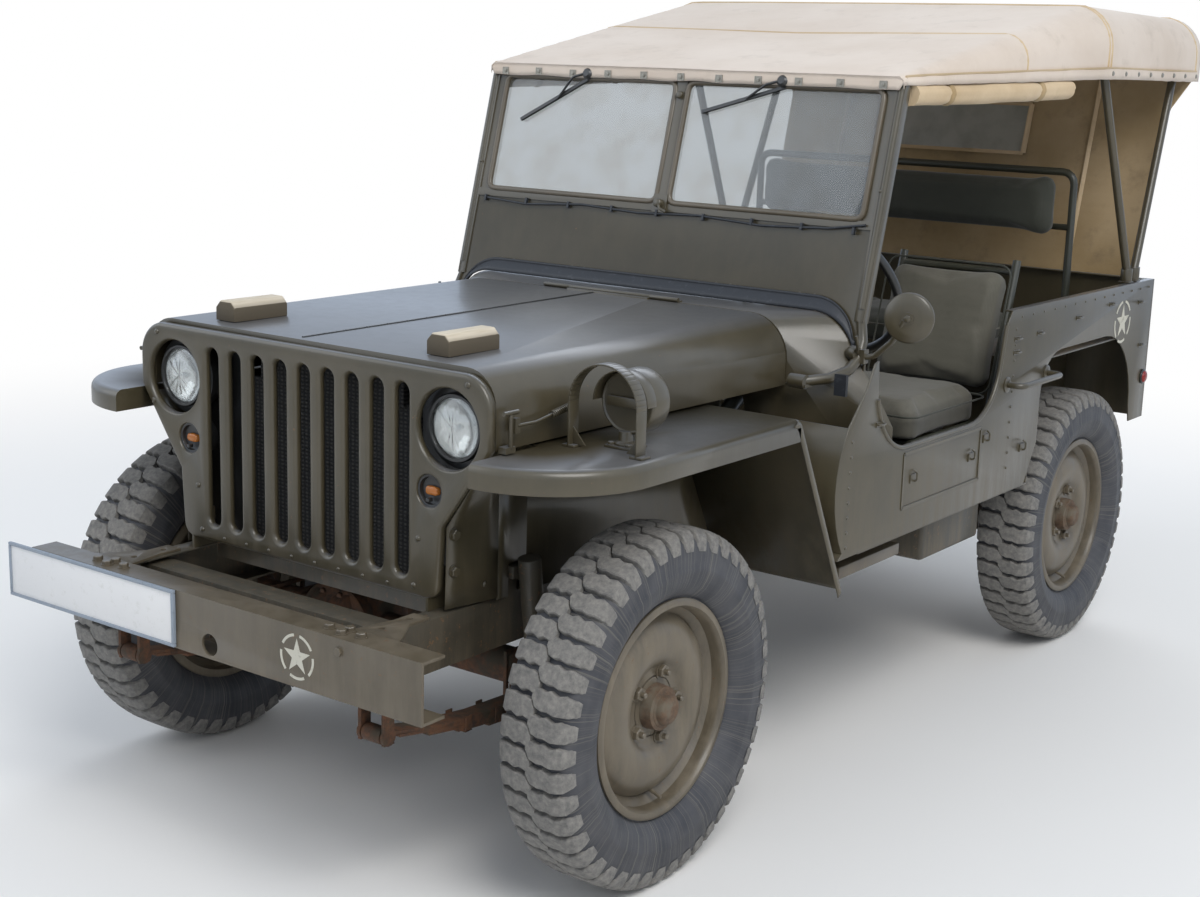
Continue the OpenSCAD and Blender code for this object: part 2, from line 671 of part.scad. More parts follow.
module on_windshield() translate([0, ws_y, ws_z]) rotate([-ws_rake, 0, 0]) children();

pane_low = 232;
pane_high = ws_h - 29;
pane_in = 18;
pane_out = ws_half_w - 51;
pillar_w = 24;

module windshield_frame() color(olive) {
  on_windshield() {
    // pressed panel, cut round the cowl
    cross_sheet(4, sheet) difference() {
      polygon(closed_pair([[ws_half_w - 4, -40], [ws_half_w - 4, ws_h - 2]]));
      polygon(closed_pair(concat([[ws_half_w - 8, -60], [ws_half_w - 8, -52]], arc(478, -82, 118, 15, 90, 8))));
      for (s = [-1, 1]) translate([s > 0 ? pane_in : -pane_out, pane_low]) square([pane_out - pane_in, pane_high - pane_low]);
    }
    both_sides() block([ws_half_w - pillar_w, 0, 0], [ws_half_w, 26, ws_h]);
    block([-ws_half_w + 2, 0, pane_high + 3], [ws_half_w - 2, 26, ws_h]);
    block([-ws_half_w + 2, 0, pane_low - 22], [ws_half_w - 2, 22, pane_low - 2]);
    block([-pane_in + 3, 0, pane_low - 5], [pane_in - 3, 22, ws_h - 5]);
  }
  both_sides() tube(foot_tube, 12, 26);
}

// pillar foot, curling down and forward to its hinge on the cowl
foot_tube = [[ws_half_w - 12, ws_y + 14, ws_z + 6], [ws_half_w + 2, ws_y, ws_z - 45], [ws_half_w + 4, ws_y - 22, ws_z - 80],
             [ws_half_w, ws_y - 55, ws_z - 104], [ws_half_w - 20, ws_y - 110, ws_z - 118],
             [ws_half_w - 58, ws_y - 172, ws_z - 122]];

module windshield_glass() color("#9fb0b8", 0.4) on_windshield()
  for (s = [0, 1]) mirror([s, 0, 0])
    block([pane_in + seat_gap, 4 + sheet + seat_gap - 1, pane_low + seat_gap], [pane_out - seat_gap, 12, pane_high - seat_gap]);

mirror_at = [738, 812, 1056];
mirror_r = 57;

module rear_view_mirror() color(olive) {
  translate(mirror_at) rotate([0, 0, 12]) {
    y_cyl(-6, 8, mirror_r);
    y_cyl(-14, -6, 18);
  }
  tube([[ws_half_w + 17.5, ws_y - 20, 955], [652, ws_y - 14, 958], mirror_at - [2, 10, 0]], 7, 15);
}

// ---- steering ----

module on_column() translate(column_foot) rotate([column_tilt - 90, 0, 0]) children();

module steering_column() color(dark_olive) {
  on_column() {
    cylinder(r = 20, h = column_l - 60);
    cylinder(r = 12, h = column_l);
  }
  // steering box on the left rail
  block([rail_in, 300, 555], [apron_x - 1, 430, 640]);
}

module steering_wheel() color(dark_olive) on_column() translate([0, 0, column_l - 30]) {
  difference() {
    union() {
      rotate_extrude() translate([215, 0]) circle(r = 11, $fn = 24);
      translate([0, 0, -28]) cylinder(r = 26, h = 56);
      for (a = [90, 210, 330]) rotate([0, 0, a]) x_cyl(20, 215, 6);
    }
    translate([0, 0, -29]) cylinder(r = 12 + running_gap, h = 29 + 30.5);
  }
}

module knuckle() translate([0, 0, axle_z]) {
  difference() {
    union() {
      x_cyl(kingpin_x - 6, wheel_x - 50.5, 86);
      for (s = [-1, 1]) translate([kingpin_x, 0, s > 0 ? 78 : -96]) cylinder(r = 28, h = 18);
      block([kingpin_x - 13, 40, tie_z - 7], [kingpin_x + 13, steer_arm, tie_z + 7]);
      translate([kingpin_x, steer_arm, tie_z - 7]) cylinder(r = 17, h = 14);
      brake_plate_and_spindle();
    }
    translate([kingpin_x, 0, 0]) sphere(ball_r + 5, $fn = 48);
    translate([kingpin_x, steer_arm, tie_z - 8]) cylinder(r = tie_pin_r + running_gap, h = 16);
  }
  for (s = [0, 1]) mirror([0, 0, s]) translate([kingpin_x, 0, 24]) cylinder(r = king_r, h = 60);
}

module left_knuckle() color(rust) knuckle();
module right_knuckle() color(rust) mirror([1, 0, 0]) knuckle();

module tie_rod() color(dark_olive) translate([0, steer_arm, axle_z + tie_z]) {
  x_cyl(-kingpin_x + 42, kingpin_x - 42, 10);
  both_sides() {
    block([kingpin_x - 52, -9, 0], [kingpin_x - 42, 9, 18]);
    block([kingpin_x - 52, -9, 12], [kingpin_x + 9, 9, 18]);
  }
  translate([kingpin_x, 0, -14]) cylinder(r = tie_pin_r, h = 28);
  // the pin at the open end of the linkage has more room
  translate([-kingpin_x, 0, -14]) cylinder(r = tie_pin_r - 0.5, h = 28);
}

// ---- wheels: profiles as radius and distance outwards from the wheel's middle plane ----

function both_edges(points) = concat(points, [for (i = [len(points) - 1 : -1 : 0]) [points[i][0], -points[i][1]]]);

tyre_outer = both_edges([[rim_r - 13.5, 38], [rim_r - 13.5, 50], [rim_r + 2, 51], [rim_r + 9, 60], [rim_r + 22, 74],
                         [rim_r + 62, tyre_w / 2], [tyre_r - 28, tyre_w / 2 - 4], [tyre_r - 8, 66], [tyre_r, 56]]);
tyre_inner = both_edges([[rim_r - 14, 37], [rim_r + 24, 42], [rim_r + 62, tyre_w / 2 - 16], [tyre_r - 24, 52]]);

module wheel_at(x, y, side) translate([x, y, axle_z]) mirror([side < 0 ? 1 : 0, 0, 0]) rotate([0, 90, 0]) children();

module tyre() rotate_extrude($fn = 96) difference() {
  polygon(tyre_outer);
  polygon(tyre_inner);
}

rim_edge = rim_w / 2;
barrel = concat(
  [[rim_r - 19, -rim_edge], [rim_r, -rim_edge], [rim_r, -rim_edge + 5], [rim_r - 14, -rim_edge + 7.5],
   [rim_r - 16, -32], [rim_r - 32, -20], [rim_r - 32, 12], [rim_r - 16, 28], [rim_r - 14, rim_edge - 7.5],
   [rim_r, rim_edge - 5], [rim_r, rim_edge], [rim_r - 19, rim_edge], [rim_r - 21, 30], [rim_r - 37, 16],
   [rim_r - 37, -24], [rim_r - 21, -36]]);
disc = [[60, 18], [84, 18], [96, 30], [125, 37], [158, 30], [rim_r - 38, 6], [rim_r - 34, 6],
        [rim_r - 33, 12], [160, 37], [126, 44], [92, 37], [82, 25], [60, 25]];

module rim(centre_hole) {
  rotate_extrude($fn = 96) polygon(barrel);
  rotate_extrude($fn = 96) polygon(disc);
  rotate_extrude() polygon([[centre_hole, 18], [62, 18], [62, 25], [centre_hole, 25]]);
}

module hub() {
  rotate_extrude() polygon([[spindle_r + running_gap, -45], [46, -45], [46, 2], [119, 2], [119, -46], [126, -46],
                            [126, 9], [72, 9], [72, 18.5], [46, 18.5], [46, 50], [34, 54], [30, 70], [0, 70], [0, 58],
                            [spindle_r + running_gap, 58]]);
}

module wheel_rim() {
  rim(45);
  hub();
}

module front_left_tyre() color(rubber) wheel_at(wheel_x, 0, 1) tyre();
module front_left_rim() color(olive) wheel_at(wheel_x, 0, 1) wheel_rim();
module front_right_tyre() color(rubber) wheel_at(-wheel_x, 0, -1) tyre();
module front_right_rim() color(olive) wheel_at(-wheel_x, 0, -1) wheel_rim();
module rear_left_tyre() color(rubber) wheel_at(wheel_x, wheelbase, 1) tyre();
module rear_left_rim() color(olive) wheel_at(wheel_x, wheelbase, 1) wheel_rim();
module rear_right_tyre() color(rubber) wheel_at(-wheel_x, wheelbase, -1) tyre();
module rear_right_rim() color(olive) wheel_at(-wheel_x, wheelbase, -1) wheel_rim();

spare_disc_y = spare_y + tyre_w / 2 + 18; // inner face of the spare's disc
module at_spare() translate([spare_x, spare_y + tyre_w / 2, spare_z]) rotate([-90, 0, 0]) children();
module spare_tyre() color(rubber) at_spare() tyre();
module spare_rim() color(olive) at_spare() rim(spindle_r);

// ---- seats ----

tube_r = 11;
seat_brackets = [-seat_x - 150, -seat_x + 150];
cushion_z = 712;                // underside of the front seat cushions
back_foot = [1530, 775];
back_tilt = 16;

module rounded_slab(size, r, t) linear_extrude(t) translate([r, r]) {
  square([size[0] - 2 * r, size[1] - 2 * r]);
  translate([-r, 0]) square([size[0], size[1] - 2 * r]);
  translate([0, -r]) square([size[0] - 2 * r, size[1]]);
  for (x = [0, size[0] - 2 * r], y = [0, size[1] - 2 * r]) translate([x, y]) circle(r = r, $fn = 24);
}

module front_seat_cushions() {
  translate([-190, 1075, cushion_z]) rounded_slab([380, 420], 40, 85);
  translate([-180, back_foot[0] - 30, back_foot[1]]) rotate([90 - back_tilt, 0, 0]) translate([0, 0, -60])
    rounded_slab([360, 345], 40, 60);
}

// where a back post stands behind its cushion at height z
function back_y(z) = back_foot[0] - 30 + 60 * cos(back_tilt) + (tube_r + seat_gap) / cos(back_tilt)
                     + (z - back_foot[1] + 60 * sin(back_tilt)) * tan(back_tilt);

module front_seat_frame() {
  rail_z = cushion_z - tube_r - seat_gap;
  for (s = [-1, 1]) {
    x = s * 165;
    // side rail, rear leg and back post in one bent tube
    tube([[x, 1110, rail_z], [x, back_y(rail_z), rail_z], [x, back_y(1110), 1110]], tube_r, 30);
    bar([x, 1510, rail_z], [x, 1510, floor_z + sheet + seat_gap], tube_r - 1);
  }
  for (p = [[1135, rail_z], [1470, rail_z], [back_y(1080) + 1, 1080]]) bar([-165, p[0], p[1]], [165, p[0], p[1]], tube_r - 2);
}

module driver_seat_frame() color(olive) translate([seat_x, 0, 0]) {
  front_seat_frame();
  for (s = [-1, 1]) bar([s * 165, 1116, cushion_z - tube_r - seat_gap],
                        [s * 165 + s * 45, 1066, floor_z + sheet + seat_gap + 4], tube_r - 1);
}

module driver_cushions() color(seat_green) translate([seat_x, 0, 0]) front_seat_cushions();

module passenger_seat_frame() color(olive) translate([-seat_x, 0, 0]) {
  front_seat_frame();
  for (s = [-1, 1]) bar([s * 165, 1125, cushion_z - tube_r - seat_gap], [s * 165, seat_pivot[0], seat_pivot[1]], tube_r - 1);
  translate([0, seat_pivot[0], seat_pivot[1]]) x_cyl(-180, 180, tube_r);
}

module passenger_cushions() color(seat_green) translate([-seat_x, 0, 0]) front_seat_cushions();

rear_seat_y = [1780, 2180];
rear_back_y = 2215;

module rear_seat_frame() color(olive) {
  z = 815;
  for (y = [rear_seat_y[0] + 20, rear_seat_y[1] - 20]) bar([-box_x + sheet + seat_gap, y, z], [box_x - sheet - seat_gap, y, z], tube_r - 1);
  for (x = [-380, 0, 380]) bar([x, rear_seat_y[0] + 20, z], [x, rear_seat_y[1] - 20, z], tube_r - 2);
  tube([for (p = [[-530, box_z + seat_gap], [-530, 1318], [530, 1318], [530, box_z + seat_gap]]) [p[0], rear_back_y, p[1]]],
       tube_r, 35);
  bar([-530, rear_back_y, 1160], [530, rear_back_y, 1160], tube_r - 2);
}

module rear_cushions() color(seat_green) {
  translate([-440, rear_seat_y[0], 815 + tube_r - 1 + seat_gap]) rounded_slab([880, 400], 40, 75);
  translate([-505, rear_back_y - tube_r - seat_gap, 1128]) rotate([90, 0, 0]) rounded_slab([1010, 188], 30, 55);
}

// ---- canvas top ----

// height of the canvas over the windshield frame and of the roof at y
roof_front_z = ws_z + ws_h * cos(ws_rake) + 3.2;
function roof_z(y) = lookup(y, [[962, roof_front_z], [1930, top_z], [2650, top_z - 8]]);

// y at the sockets, y of the bow's top
bows = [[2278, 1930], [2335, 2625]];
bow_x = 668;
bow_r = 12;

module top_bows() color(olive) for (b = bows) {
  foot_z = body_top_z + seat_gap;
  high_z = roof_z(b[1]) - canvas_t - bow_r - 2.3;
  lean = b[1] - b[0];
  // share of the lean reached at the shoulder and at the top of the bow
  points = [[bow_x + 18, b[0], foot_z], [bow_x + 18, b[0], foot_z + 30], [bow_x, b[0] + lean * 0.84, 1655], [bow_x - 25, b[0] + lean * 0.93, 1712],
            [bow_x - 110, b[1], high_z]];
  tube(concat(points, [for (i = [len(points) - 1 : -1 : 0]) [-points[i][0], points[i][1], points[i][2]]]), bow_r, 30);
}

// station, half width, crown height, lower edge and shoulder radius of the roof
roof = [[962, ws_half_w + 3, roof_front_z, roof_front_z - 20, 16], [1930, top_half_w, top_z, hem_z, 110],
        [2650, top_half_w, top_z - 8, hem_z, 110]];

function roof_section(s, d) = closed_pair(concat(
  [[s[1] - d, s[3] - 5 * d]], arc(s[1] - s[4], s[2] - s[4], s[4] - d, 0, 80, 7), [[0, s[2] - d]]));

module canvas_top() color(canvas_tan) difference() {
  canvas_shell();
  // room for the top of the windshield frame
  on_windshield() block([-ws_half_w - 1, -0.5, ws_h - 80], [ws_half_w + 1, 27, ws_h + seat_gap]);
}

module canvas_shell() {
  for (i = [1, 2]) difference() {
    skin(roof[i - 1][0], roof_section(roof[i - 1], 0), roof[i][0], roof_section(roof[i], 0));
    skin(roof[i - 1][0] + (i == 1 ? canvas_t : -1), roof_section(roof[i - 1], canvas_t),
         roof[i][0] + (i == 1 ? 1 : -canvas_t), roof_section(roof[i], canvas_t));
  }
  // front hem hanging over the windshield frame
  block([-ws_half_w - 3, roof[0][0], roof_front_z - 34], [ws_half_w + 3, roof[0][0] + canvas_t, roof_front_z - 5]);
  // rear curtain
  side_sheet(-648, 1296) polygon([[2643, 1680], [2650, 1700], [2650, 1660], [rear_panel_y + 20, 985],
                                  [rear_panel_y + 14, 985], [2640, 1640]]);
}

// middle of the rolled curtain below the canvas edge at y, touching its inner side
function under_hem(y) = [lookup(y, [[roof[0][0], roof[0][1]], [roof[1][0], roof[1][1]]]) - canvas_t - 10, y,
                         lookup(y, [[roof[0][0], roof[0][3]], [roof[1][0], roof[1][3]]]) - 24.4];

module curtain_roll() color(canvas_tan) both_sides()
  bar(under_hem(1014), under_hem(1740), 26);

// ---- rear end ----

module bumperettes() color(olive) both_sides() translate([frame_w / 2 - 60, wheelbase + 408 + seat_gap, 505]) {
  linear_extrude(70) difference() {
    polygon([[-110, 0], [-95, 60], [-60, 80], [110, 80], [145, 55], [160, 0]]);
    polygon([[-101, -1], [-88, 55], [-57, 72], [107, 72], [137, 50], [151, -1]]);
  }
  translate([-110, 0, 0]) cube([270, 8, 70]);
}

module tow_hook() color(dark_olive) translate([0, wheelbase + 408 + seat_gap, 540]) {
  difference() {
    block([-55, 0, -45], [55, 10, 45]);
    for (x = [-35, 35], z = [-27, 27]) translate([x, 0, z]) y_cyl(-1, 11, 6);
  }
  y_cyl(5, 45, 22);
  translate([-14, 75, 0]) difference() {
    x_cyl(0, 28, 42);
    x_cyl(-1, 29, 22);
  }
}

placed() frame();
placed() front_bumper();
placed() number_plate();
placed() front_axle();
placed() rear_axle();
placed() leaf_springs();
placed() shock_absorbers();
placed() engine();
placed() gearbox();
placed() prop_shafts();
placed() exhaust();
placed() fuel_tank();
placed() radiator();
placed() grille();
placed() headlamps();
placed() marker_lamps();
placed() blackout_lamp();
placed() fenders();
placed() hood();
placed() hood_blocks();
placed() cowl();
placed() floor();
placed() side_panels();
placed() rear_panel();
placed() side_steps();
placed() grab_handles();
placed() windshield_frame();
placed() windshield_glass();
placed() rear_view_mirror();
placed() steering_column();
placed() steering_wheel();
placed() driver_seat_frame();
placed() driver_cushions();
placed() passenger_seat_frame();
placed() passenger_cushions();
placed() rear_seat_frame();
placed() rear_cushions();
placed() top_bows();
placed() canvas_top();
placed() curtain_roll();
placed() bumperettes();
placed() tow_hook();
placed() left_knuckle();
placed() right_knuckle();
placed() tie_rod();
placed() front_left_tyre();
placed() front_left_rim();
placed() front_right_tyre();
placed() front_right_rim();
placed() rear_left_tyre();
placed() rear_left_rim();
placed() rear_right_tyre();
placed() rear_right_rim();
placed() spare_tyre();
placed() spare_rim();
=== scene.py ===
"""Looks of an unarmed military 4x4 car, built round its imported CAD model.

Shapes are given in millimetres in the drawing's frame: +X is the car's left,
-Y its front, and y = 0 is the front axle. piece() turns them into metres in
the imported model's frame."""
import json
import math

import bmesh
import bpy
from mathutils import Matrix, Vector, noise


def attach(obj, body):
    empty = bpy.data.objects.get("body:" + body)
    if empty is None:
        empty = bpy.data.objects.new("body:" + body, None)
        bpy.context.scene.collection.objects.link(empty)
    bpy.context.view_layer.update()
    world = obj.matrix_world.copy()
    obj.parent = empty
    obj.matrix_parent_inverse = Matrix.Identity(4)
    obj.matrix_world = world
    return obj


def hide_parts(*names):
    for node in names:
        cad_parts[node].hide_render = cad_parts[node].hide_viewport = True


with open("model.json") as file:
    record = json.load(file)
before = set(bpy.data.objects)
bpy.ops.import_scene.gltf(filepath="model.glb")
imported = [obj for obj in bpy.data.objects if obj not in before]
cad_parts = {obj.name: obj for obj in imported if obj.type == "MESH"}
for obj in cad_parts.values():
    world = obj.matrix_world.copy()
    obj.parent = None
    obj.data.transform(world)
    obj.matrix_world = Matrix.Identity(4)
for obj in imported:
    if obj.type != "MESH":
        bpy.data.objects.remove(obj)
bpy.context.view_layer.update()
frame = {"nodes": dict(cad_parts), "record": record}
nodes = frame["nodes"]
body_of = {}
for body_name, its_nodes in frame["record"]["behaviour"]["bodies"].items():
    for node_name in its_nodes:
        body_of[node_name] = body_name

FRONT_AXLE_Y = -1.066                 # metres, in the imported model's frame
TO_ROW = Matrix.Translation((0, FRONT_AXLE_Y, 0)) @ Matrix.Scale(0.001, 4)
AXLE_Z = 360
WHEEL_X = 622.5
WHEELBASE = 2032
BODY_X = 710                          # outside of the body sides
BUMPER_Y = -555
GRILLE_Y = -312
FENDER_Z = 885
FENDER_X = 722
APRON_X = 386
WS_Y = 837
WS_Z = 1030
WS_H = 563
WS_RAKE = math.radians(14.6)
COLUMN_FOOT = Vector((358, 365, 600))
COLUMN_TILT = math.radians(34)


# ---- materials ----

def linear(code):
    """A hex sRGB colour as the linear values that a shader takes."""
    parts = [int(code[i:i + 2], 16) / 255 for i in (1, 3, 5)]
    return [p / 12.92 if p <= 0.04045 else ((p + 0.055) / 1.055) ** 2.4 for p in parts] + [1]


def per(size):
    """Scale of a texture whose features are size millimetres across."""
    return 1000 / size


def add(tree, kind, inputs={}, **settings):
    """Adds a node with its settings, and with each input's value or link."""
    node = tree.nodes.new(kind)
    for name, value in settings.items():
        setattr(node, name, value)
    for socket, value in inputs.items():
        if isinstance(value, bpy.types.NodeSocket):
            tree.links.new(value, node.inputs[socket])
        else:
            node.inputs[socket].default_value = value
    return node


def finish(name, **constants):
    """A new material, its node tree, its shader and the place of each point."""
    material = bpy.data.materials.new(name)
    material.use_nodes = True
    tree = material.node_tree
    shader = tree.nodes["Principled BSDF"]
    for socket, value in constants.items():
        shader.inputs[socket.replace("_", " ")].default_value = value
    place = add(tree, "ShaderNodeTexCoord").outputs["Object"]
    return material, tree, shader, place


def wire(tree, shader, **sources):
    """Links the shader's named inputs to what drives them."""
    for socket, source in sources.items():
        tree.links.new(source, shader.inputs[socket.replace("_", " ")])


def enamel(name, paint, faded, dust, rough, dust_top=0.75, dust_share=0.5, chips=0.66, peel=0.15, painted_sky_reflection=0.0):
    """Enamel sprayed on pressed steel: sun-faded in clouds, dusty and streaked low
    down, chipped to brown primer in specks, with a soft satin shine, and with a
    cool grey painted reflection of the sky mixed into the colour of upward faces."""
    material, tree, shader, place = finish(name, IOR=1.5, Coat_Weight=0.35, Coat_Roughness=0.22)
    clouds = add(tree, "ShaderNodeTexNoise", {"Vector": place, "Scale": per(260), "Detail": 5,
                                              "Roughness": 0.6})
    fading = add(tree, "ShaderNodeMapRange", {0: clouds.outputs[0], 1: 0.38, 2: 0.66})
    colour = add(tree, "ShaderNodeMix", {0: fading.outputs[0], 6: linear(paint), 7: linear(faded)},
                 data_type="RGBA")
    # rain streaks run down, so their pattern is drawn out along Z
    run = add(tree, "ShaderNodeMapping", {"Vector": place, "Scale": (1, 1, 0.14)})
    streaks = add(tree, "ShaderNodeTexNoise", {"Vector": run.outputs[0], "Scale": per(38), "Detail": 6,
                                               "Roughness": 0.7})
    height = add(tree, "ShaderNodeSeparateXYZ", {0: place})
    low = add(tree, "ShaderNodeMapRange", {0: height.outputs[2], 1: 0.30, 2: dust_top, 3: dust_share,
                                           4: 0.05})
    band = add(tree, "ShaderNodeMapRange", {0: streaks.outputs[0], 1: 0.42, 2: 0.68})
    share = add(tree, "ShaderNodeMath", {0: low.outputs[0], 1: band.outputs[0]}, operation="MULTIPLY")
    dusty = add(tree, "ShaderNodeMix", {0: share.outputs[0], 6: colour.outputs[2], 7: linear(dust)},
                data_type="RGBA")
    specks = add(tree, "ShaderNodeTexNoise", {"Vector": place, "Scale": per(14), "Detail": 8,
                                              "Roughness": 0.75})
    bare = add(tree, "ShaderNodeMapRange", {0: specks.outputs[0], 1: chips, 2: chips + 0.03})
    worn = add(tree, "ShaderNodeMix", {0: bare.outputs[0], 6: dusty.outputs[2], 7: linear("#6b5138")},
               data_type="RGBA")
    # painted reflection: upward faces are mixed towards a cool grey that stands in for the sky seen in the
    # satin tops
    facing = add(tree, "ShaderNodeSeparateXYZ", {0: add(tree, "ShaderNodeNewGeometry").outputs["Normal"]})
    top = add(tree, "ShaderNodeMapRange", {0: facing.outputs[2], 1: 0.75, 2: 0.98, 3: 0, 4: painted_sky_reflection})
    worn = add(tree, "ShaderNodeMix", {0: top.outputs[0], 6: worn.outputs[2], 7: linear("#6c6f76")},
               data_type="RGBA")
    shine = add(tree, "ShaderNodeMapRange", {0: share.outputs[0], 1: 0, 2: 0.5, 3: rough, 4: 0.8})
    fine = add(tree, "ShaderNodeTexNoise", {"Vector": place, "Scale": per(5), "Detail": 2})
    relief = add(tree, "ShaderNodeBump", {"Height": fine.outputs[0], "Strength": peel, "Distance": 0.0006})
    wire(tree, shader, Base_Color=worn.outputs[2], Roughness=shine.outputs[0], Normal=relief.outputs[0])
    return material


# the body's brown-olive drab enamel: satin, with a broad pale sheen on flat tops, partly its gloss and partly
# a painted sky reflection in its colour
olive = enamel("olive_drab_enamel", "#443e2e", "#4f4837", "#7f725c", 0.34, painted_sky_reflection=0.55)
# the same enamel on the wheels and bumper, flatter and dustier from road grit
road_olive = enamel("gritty_olive_enamel", "#544b3b", "#62594a", "#857a68", 0.46, 0.8, 0.5, 0.62)
# brushed chassis paint, matt and caked with dried mud
chassis_paint = enamel("muddy_chassis_paint", "#3a362c", "#464034", "#7a6c56", 0.62, 0.62, 0.8, 0.6, 0.5)
# painted cast iron, dull and oily
cast_iron = enamel("oily_cast_iron", "#2d2d29", "#383831", "#55503f", 0.55, 0.6, 0.5, 0.64, 0.6)
# hard black enamel with a rubbed shine
black_enamel = enamel("black_enamel", "#1c1c1b", "#262625", "#4c4840", 0.42, 0.5, 0.3, 0.7)
# the seat's dark green tubes and backs
dark_olive = enamel("dark_olive_enamel", "#2f3026", "#3a3a2e", "#5d5746", 0.45, 0.6, 0.3, 0.7)


def rusty(name, scale_brown, scale_orange, left):
    """Forged steel whose paint has gone to scale: matt, grainy, brown to orange."""
    material, tree, shader, place = finish(name, Metallic=0.15, Roughness=0.86)
    grain = add(tree, "ShaderNodeTexNoise", {"Vector": place, "Scale": per(24), "Detail": 9,
                                             "Roughness": 0.75})
    spread = add(tree, "ShaderNodeMapRange", {0: grain.outputs[0], 1: 0.38, 2: 0.64})
    scale = add(tree, "ShaderNodeMix", {0: spread.outputs[0], 6: linear(scale_brown),
                                        7: linear(scale_orange)},
                data_type="RGBA")
    patches = add(tree, "ShaderNodeTexNoise", {"Vector": place, "Scale": per(90), "Detail": 6,
                                               "Roughness": 0.65})
    paint_left = add(tree, "ShaderNodeMapRange", {0: patches.outputs[0], 1: 0.5, 2: 0.6})
    mixed = add(tree, "ShaderNodeMix", {0: paint_left.outputs[0], 6: scale.outputs[2], 7: linear(left)},
                data_type="RGBA")
    relief = add(tree, "ShaderNodeBump", {"Height": grain.outputs[0], "Strength": 0.6, "Distance": 0.0012})
    wire(tree, shader, Base_Color=mixed.outputs[2], Normal=relief.outputs[0])
    return material


rust = rusty("scaled_forged_steel", "#3f342c", "#6e4a33", "#474034")
hub_rust = rusty("rusted_hub_steel", "#57493c", "#745a45", "#6d6456")

# vulcanised rubber, aged: bluish black and waxy, with fine radial cracks that catch dust
side_rubber, tree, shader, place = finish("aged_sidewall_rubber", Roughness=0.62)
axis_off = add(tree, "ShaderNodeVectorMath", {0: place, 1: (0, 1, 1)}, operation="MULTIPLY")
around = add(tree, "ShaderNodeVectorMath", {0: axis_off.outputs[0]}, operation="NORMALIZE")
cracks = add(tree, "ShaderNodeTexNoise", {"Vector": around.outputs[0], "Scale": 75, "Detail": 5,
                                          "Roughness": 0.7})
cracked = add(tree, "ShaderNodeMapRange", {0: cracks.outputs[0], 1: 0.52, 2: 0.66})
bloom = add(tree, "ShaderNodeTexNoise", {"Vector": place, "Scale": per(70), "Detail": 6})
bloomed = add(tree, "ShaderNodeMapRange", {0: bloom.outputs[0], 1: 0.35, 2: 0.7})
rubber_tone = add(tree, "ShaderNodeMix", {0: bloomed.outputs[0], 6: linear("#35363b"), 7: linear("#4d4d50")},
                  data_type="RGBA")
rubber_dust = add(tree, "ShaderNodeMix", {0: cracked.outputs[0], 6: rubber_tone.outputs[2],
                                          7: linear("#67645e")},
                  data_type="RGBA")
crack_relief = add(tree, "ShaderNodeBump", {"Height": cracks.outputs[0], "Strength": 0.25, "Distance": 0.001})
wire(tree, shader, Base_Color=rubber_dust.outputs[2], Normal=crack_relief.outputs[0])

# worn tread rubber: grey with ground-in road dust, quite matt
tread_rubber, tree, shader, place = finish("dusty_tread_rubber", Roughness=0.9)
grit = add(tree, "ShaderNodeTexNoise", {"Vector": place, "Scale": per(12), "Detail": 8, "Roughness": 0.7})
gritty = add(tree, "ShaderNodeMapRange", {0: grit.outputs[0], 1: 0.35, 2: 0.65})
tread_tone = add(tree, "ShaderNodeMix", {0: gritty.outputs[0], 6: linear("#666563"), 7: linear("#898681")},
                 data_type="RGBA")
grit_relief = add(tree, "ShaderNodeBump", {"Height": grit.outputs[0], "Strength": 0.4, "Distance": 0.001})
wire(tree, shader, Base_Color=tread_tone.outputs[2], Normal=grit_relief.outputs[0])


def duck(name, thread, shade, stain, rough=0.92, stains=0.45):
    """Cotton duck, plain woven: matt, with a faint sheen at its edges, grey stains in
    clouds, and a weave drawn at 3 mm, coarser than its real 0.8 mm, so that it shows."""
    material, tree, shader, place = finish(name, Roughness=rough, Sheen_Weight=0.25, Sheen_Roughness=0.5)
    clouds = add(tree, "ShaderNodeTexNoise", {"Vector": place, "Scale": per(320), "Detail": 7,
                                              "Roughness": 0.6})
    spread = add(tree, "ShaderNodeMapRange", {0: clouds.outputs[0], 1: 0.36, 2: 0.64})
    cloth = add(tree, "ShaderNodeMix", {0: spread.outputs[0], 6: linear(thread), 7: linear(shade)},
                data_type="RGBA")
    marks = add(tree, "ShaderNodeTexNoise", {"Vector": place, "Scale": per(110), "Detail": 8,
                                             "Roughness": 0.7})
    marked = add(tree, "ShaderNodeMapRange", {0: marks.outputs[0], 1: 0.54, 2: 0.74, 3: 0, 4: stains})
    soiled = add(tree, "ShaderNodeMix", {0: marked.outputs[0], 6: cloth.outputs[2], 7: linear(stain)},
                 data_type="RGBA")
    warp = add(tree, "ShaderNodeTexWave", {"Vector": place, "Scale": per(20), "Distortion": 0.6},
               bands_direction="X")
    weft = add(tree, "ShaderNodeTexWave", {"Vector": place, "Scale": per(20), "Distortion": 0.6},
               bands_direction="Y")
    weave = add(tree, "ShaderNodeMath", {0: warp.outputs[1], 1: weft.outputs[1]}, operation="ADD")
    relief = add(tree, "ShaderNodeBump", {"Height": weave.outputs[0], "Strength": 0.12, "Distance": 0.0008})
    folds = add(tree, "ShaderNodeBump", {"Height": clouds.outputs[0], "Strength": 0.5, "Distance": 0.01,
                                         "Normal": relief.outputs[0]})
    wire(tree, shader, Base_Color=soiled.outputs[2], Normal=folds.outputs[0])
    return material


roof_duck = duck("bleached_cotton_duck", "#dccfc2", "#d2c3b4", "#b3a595")
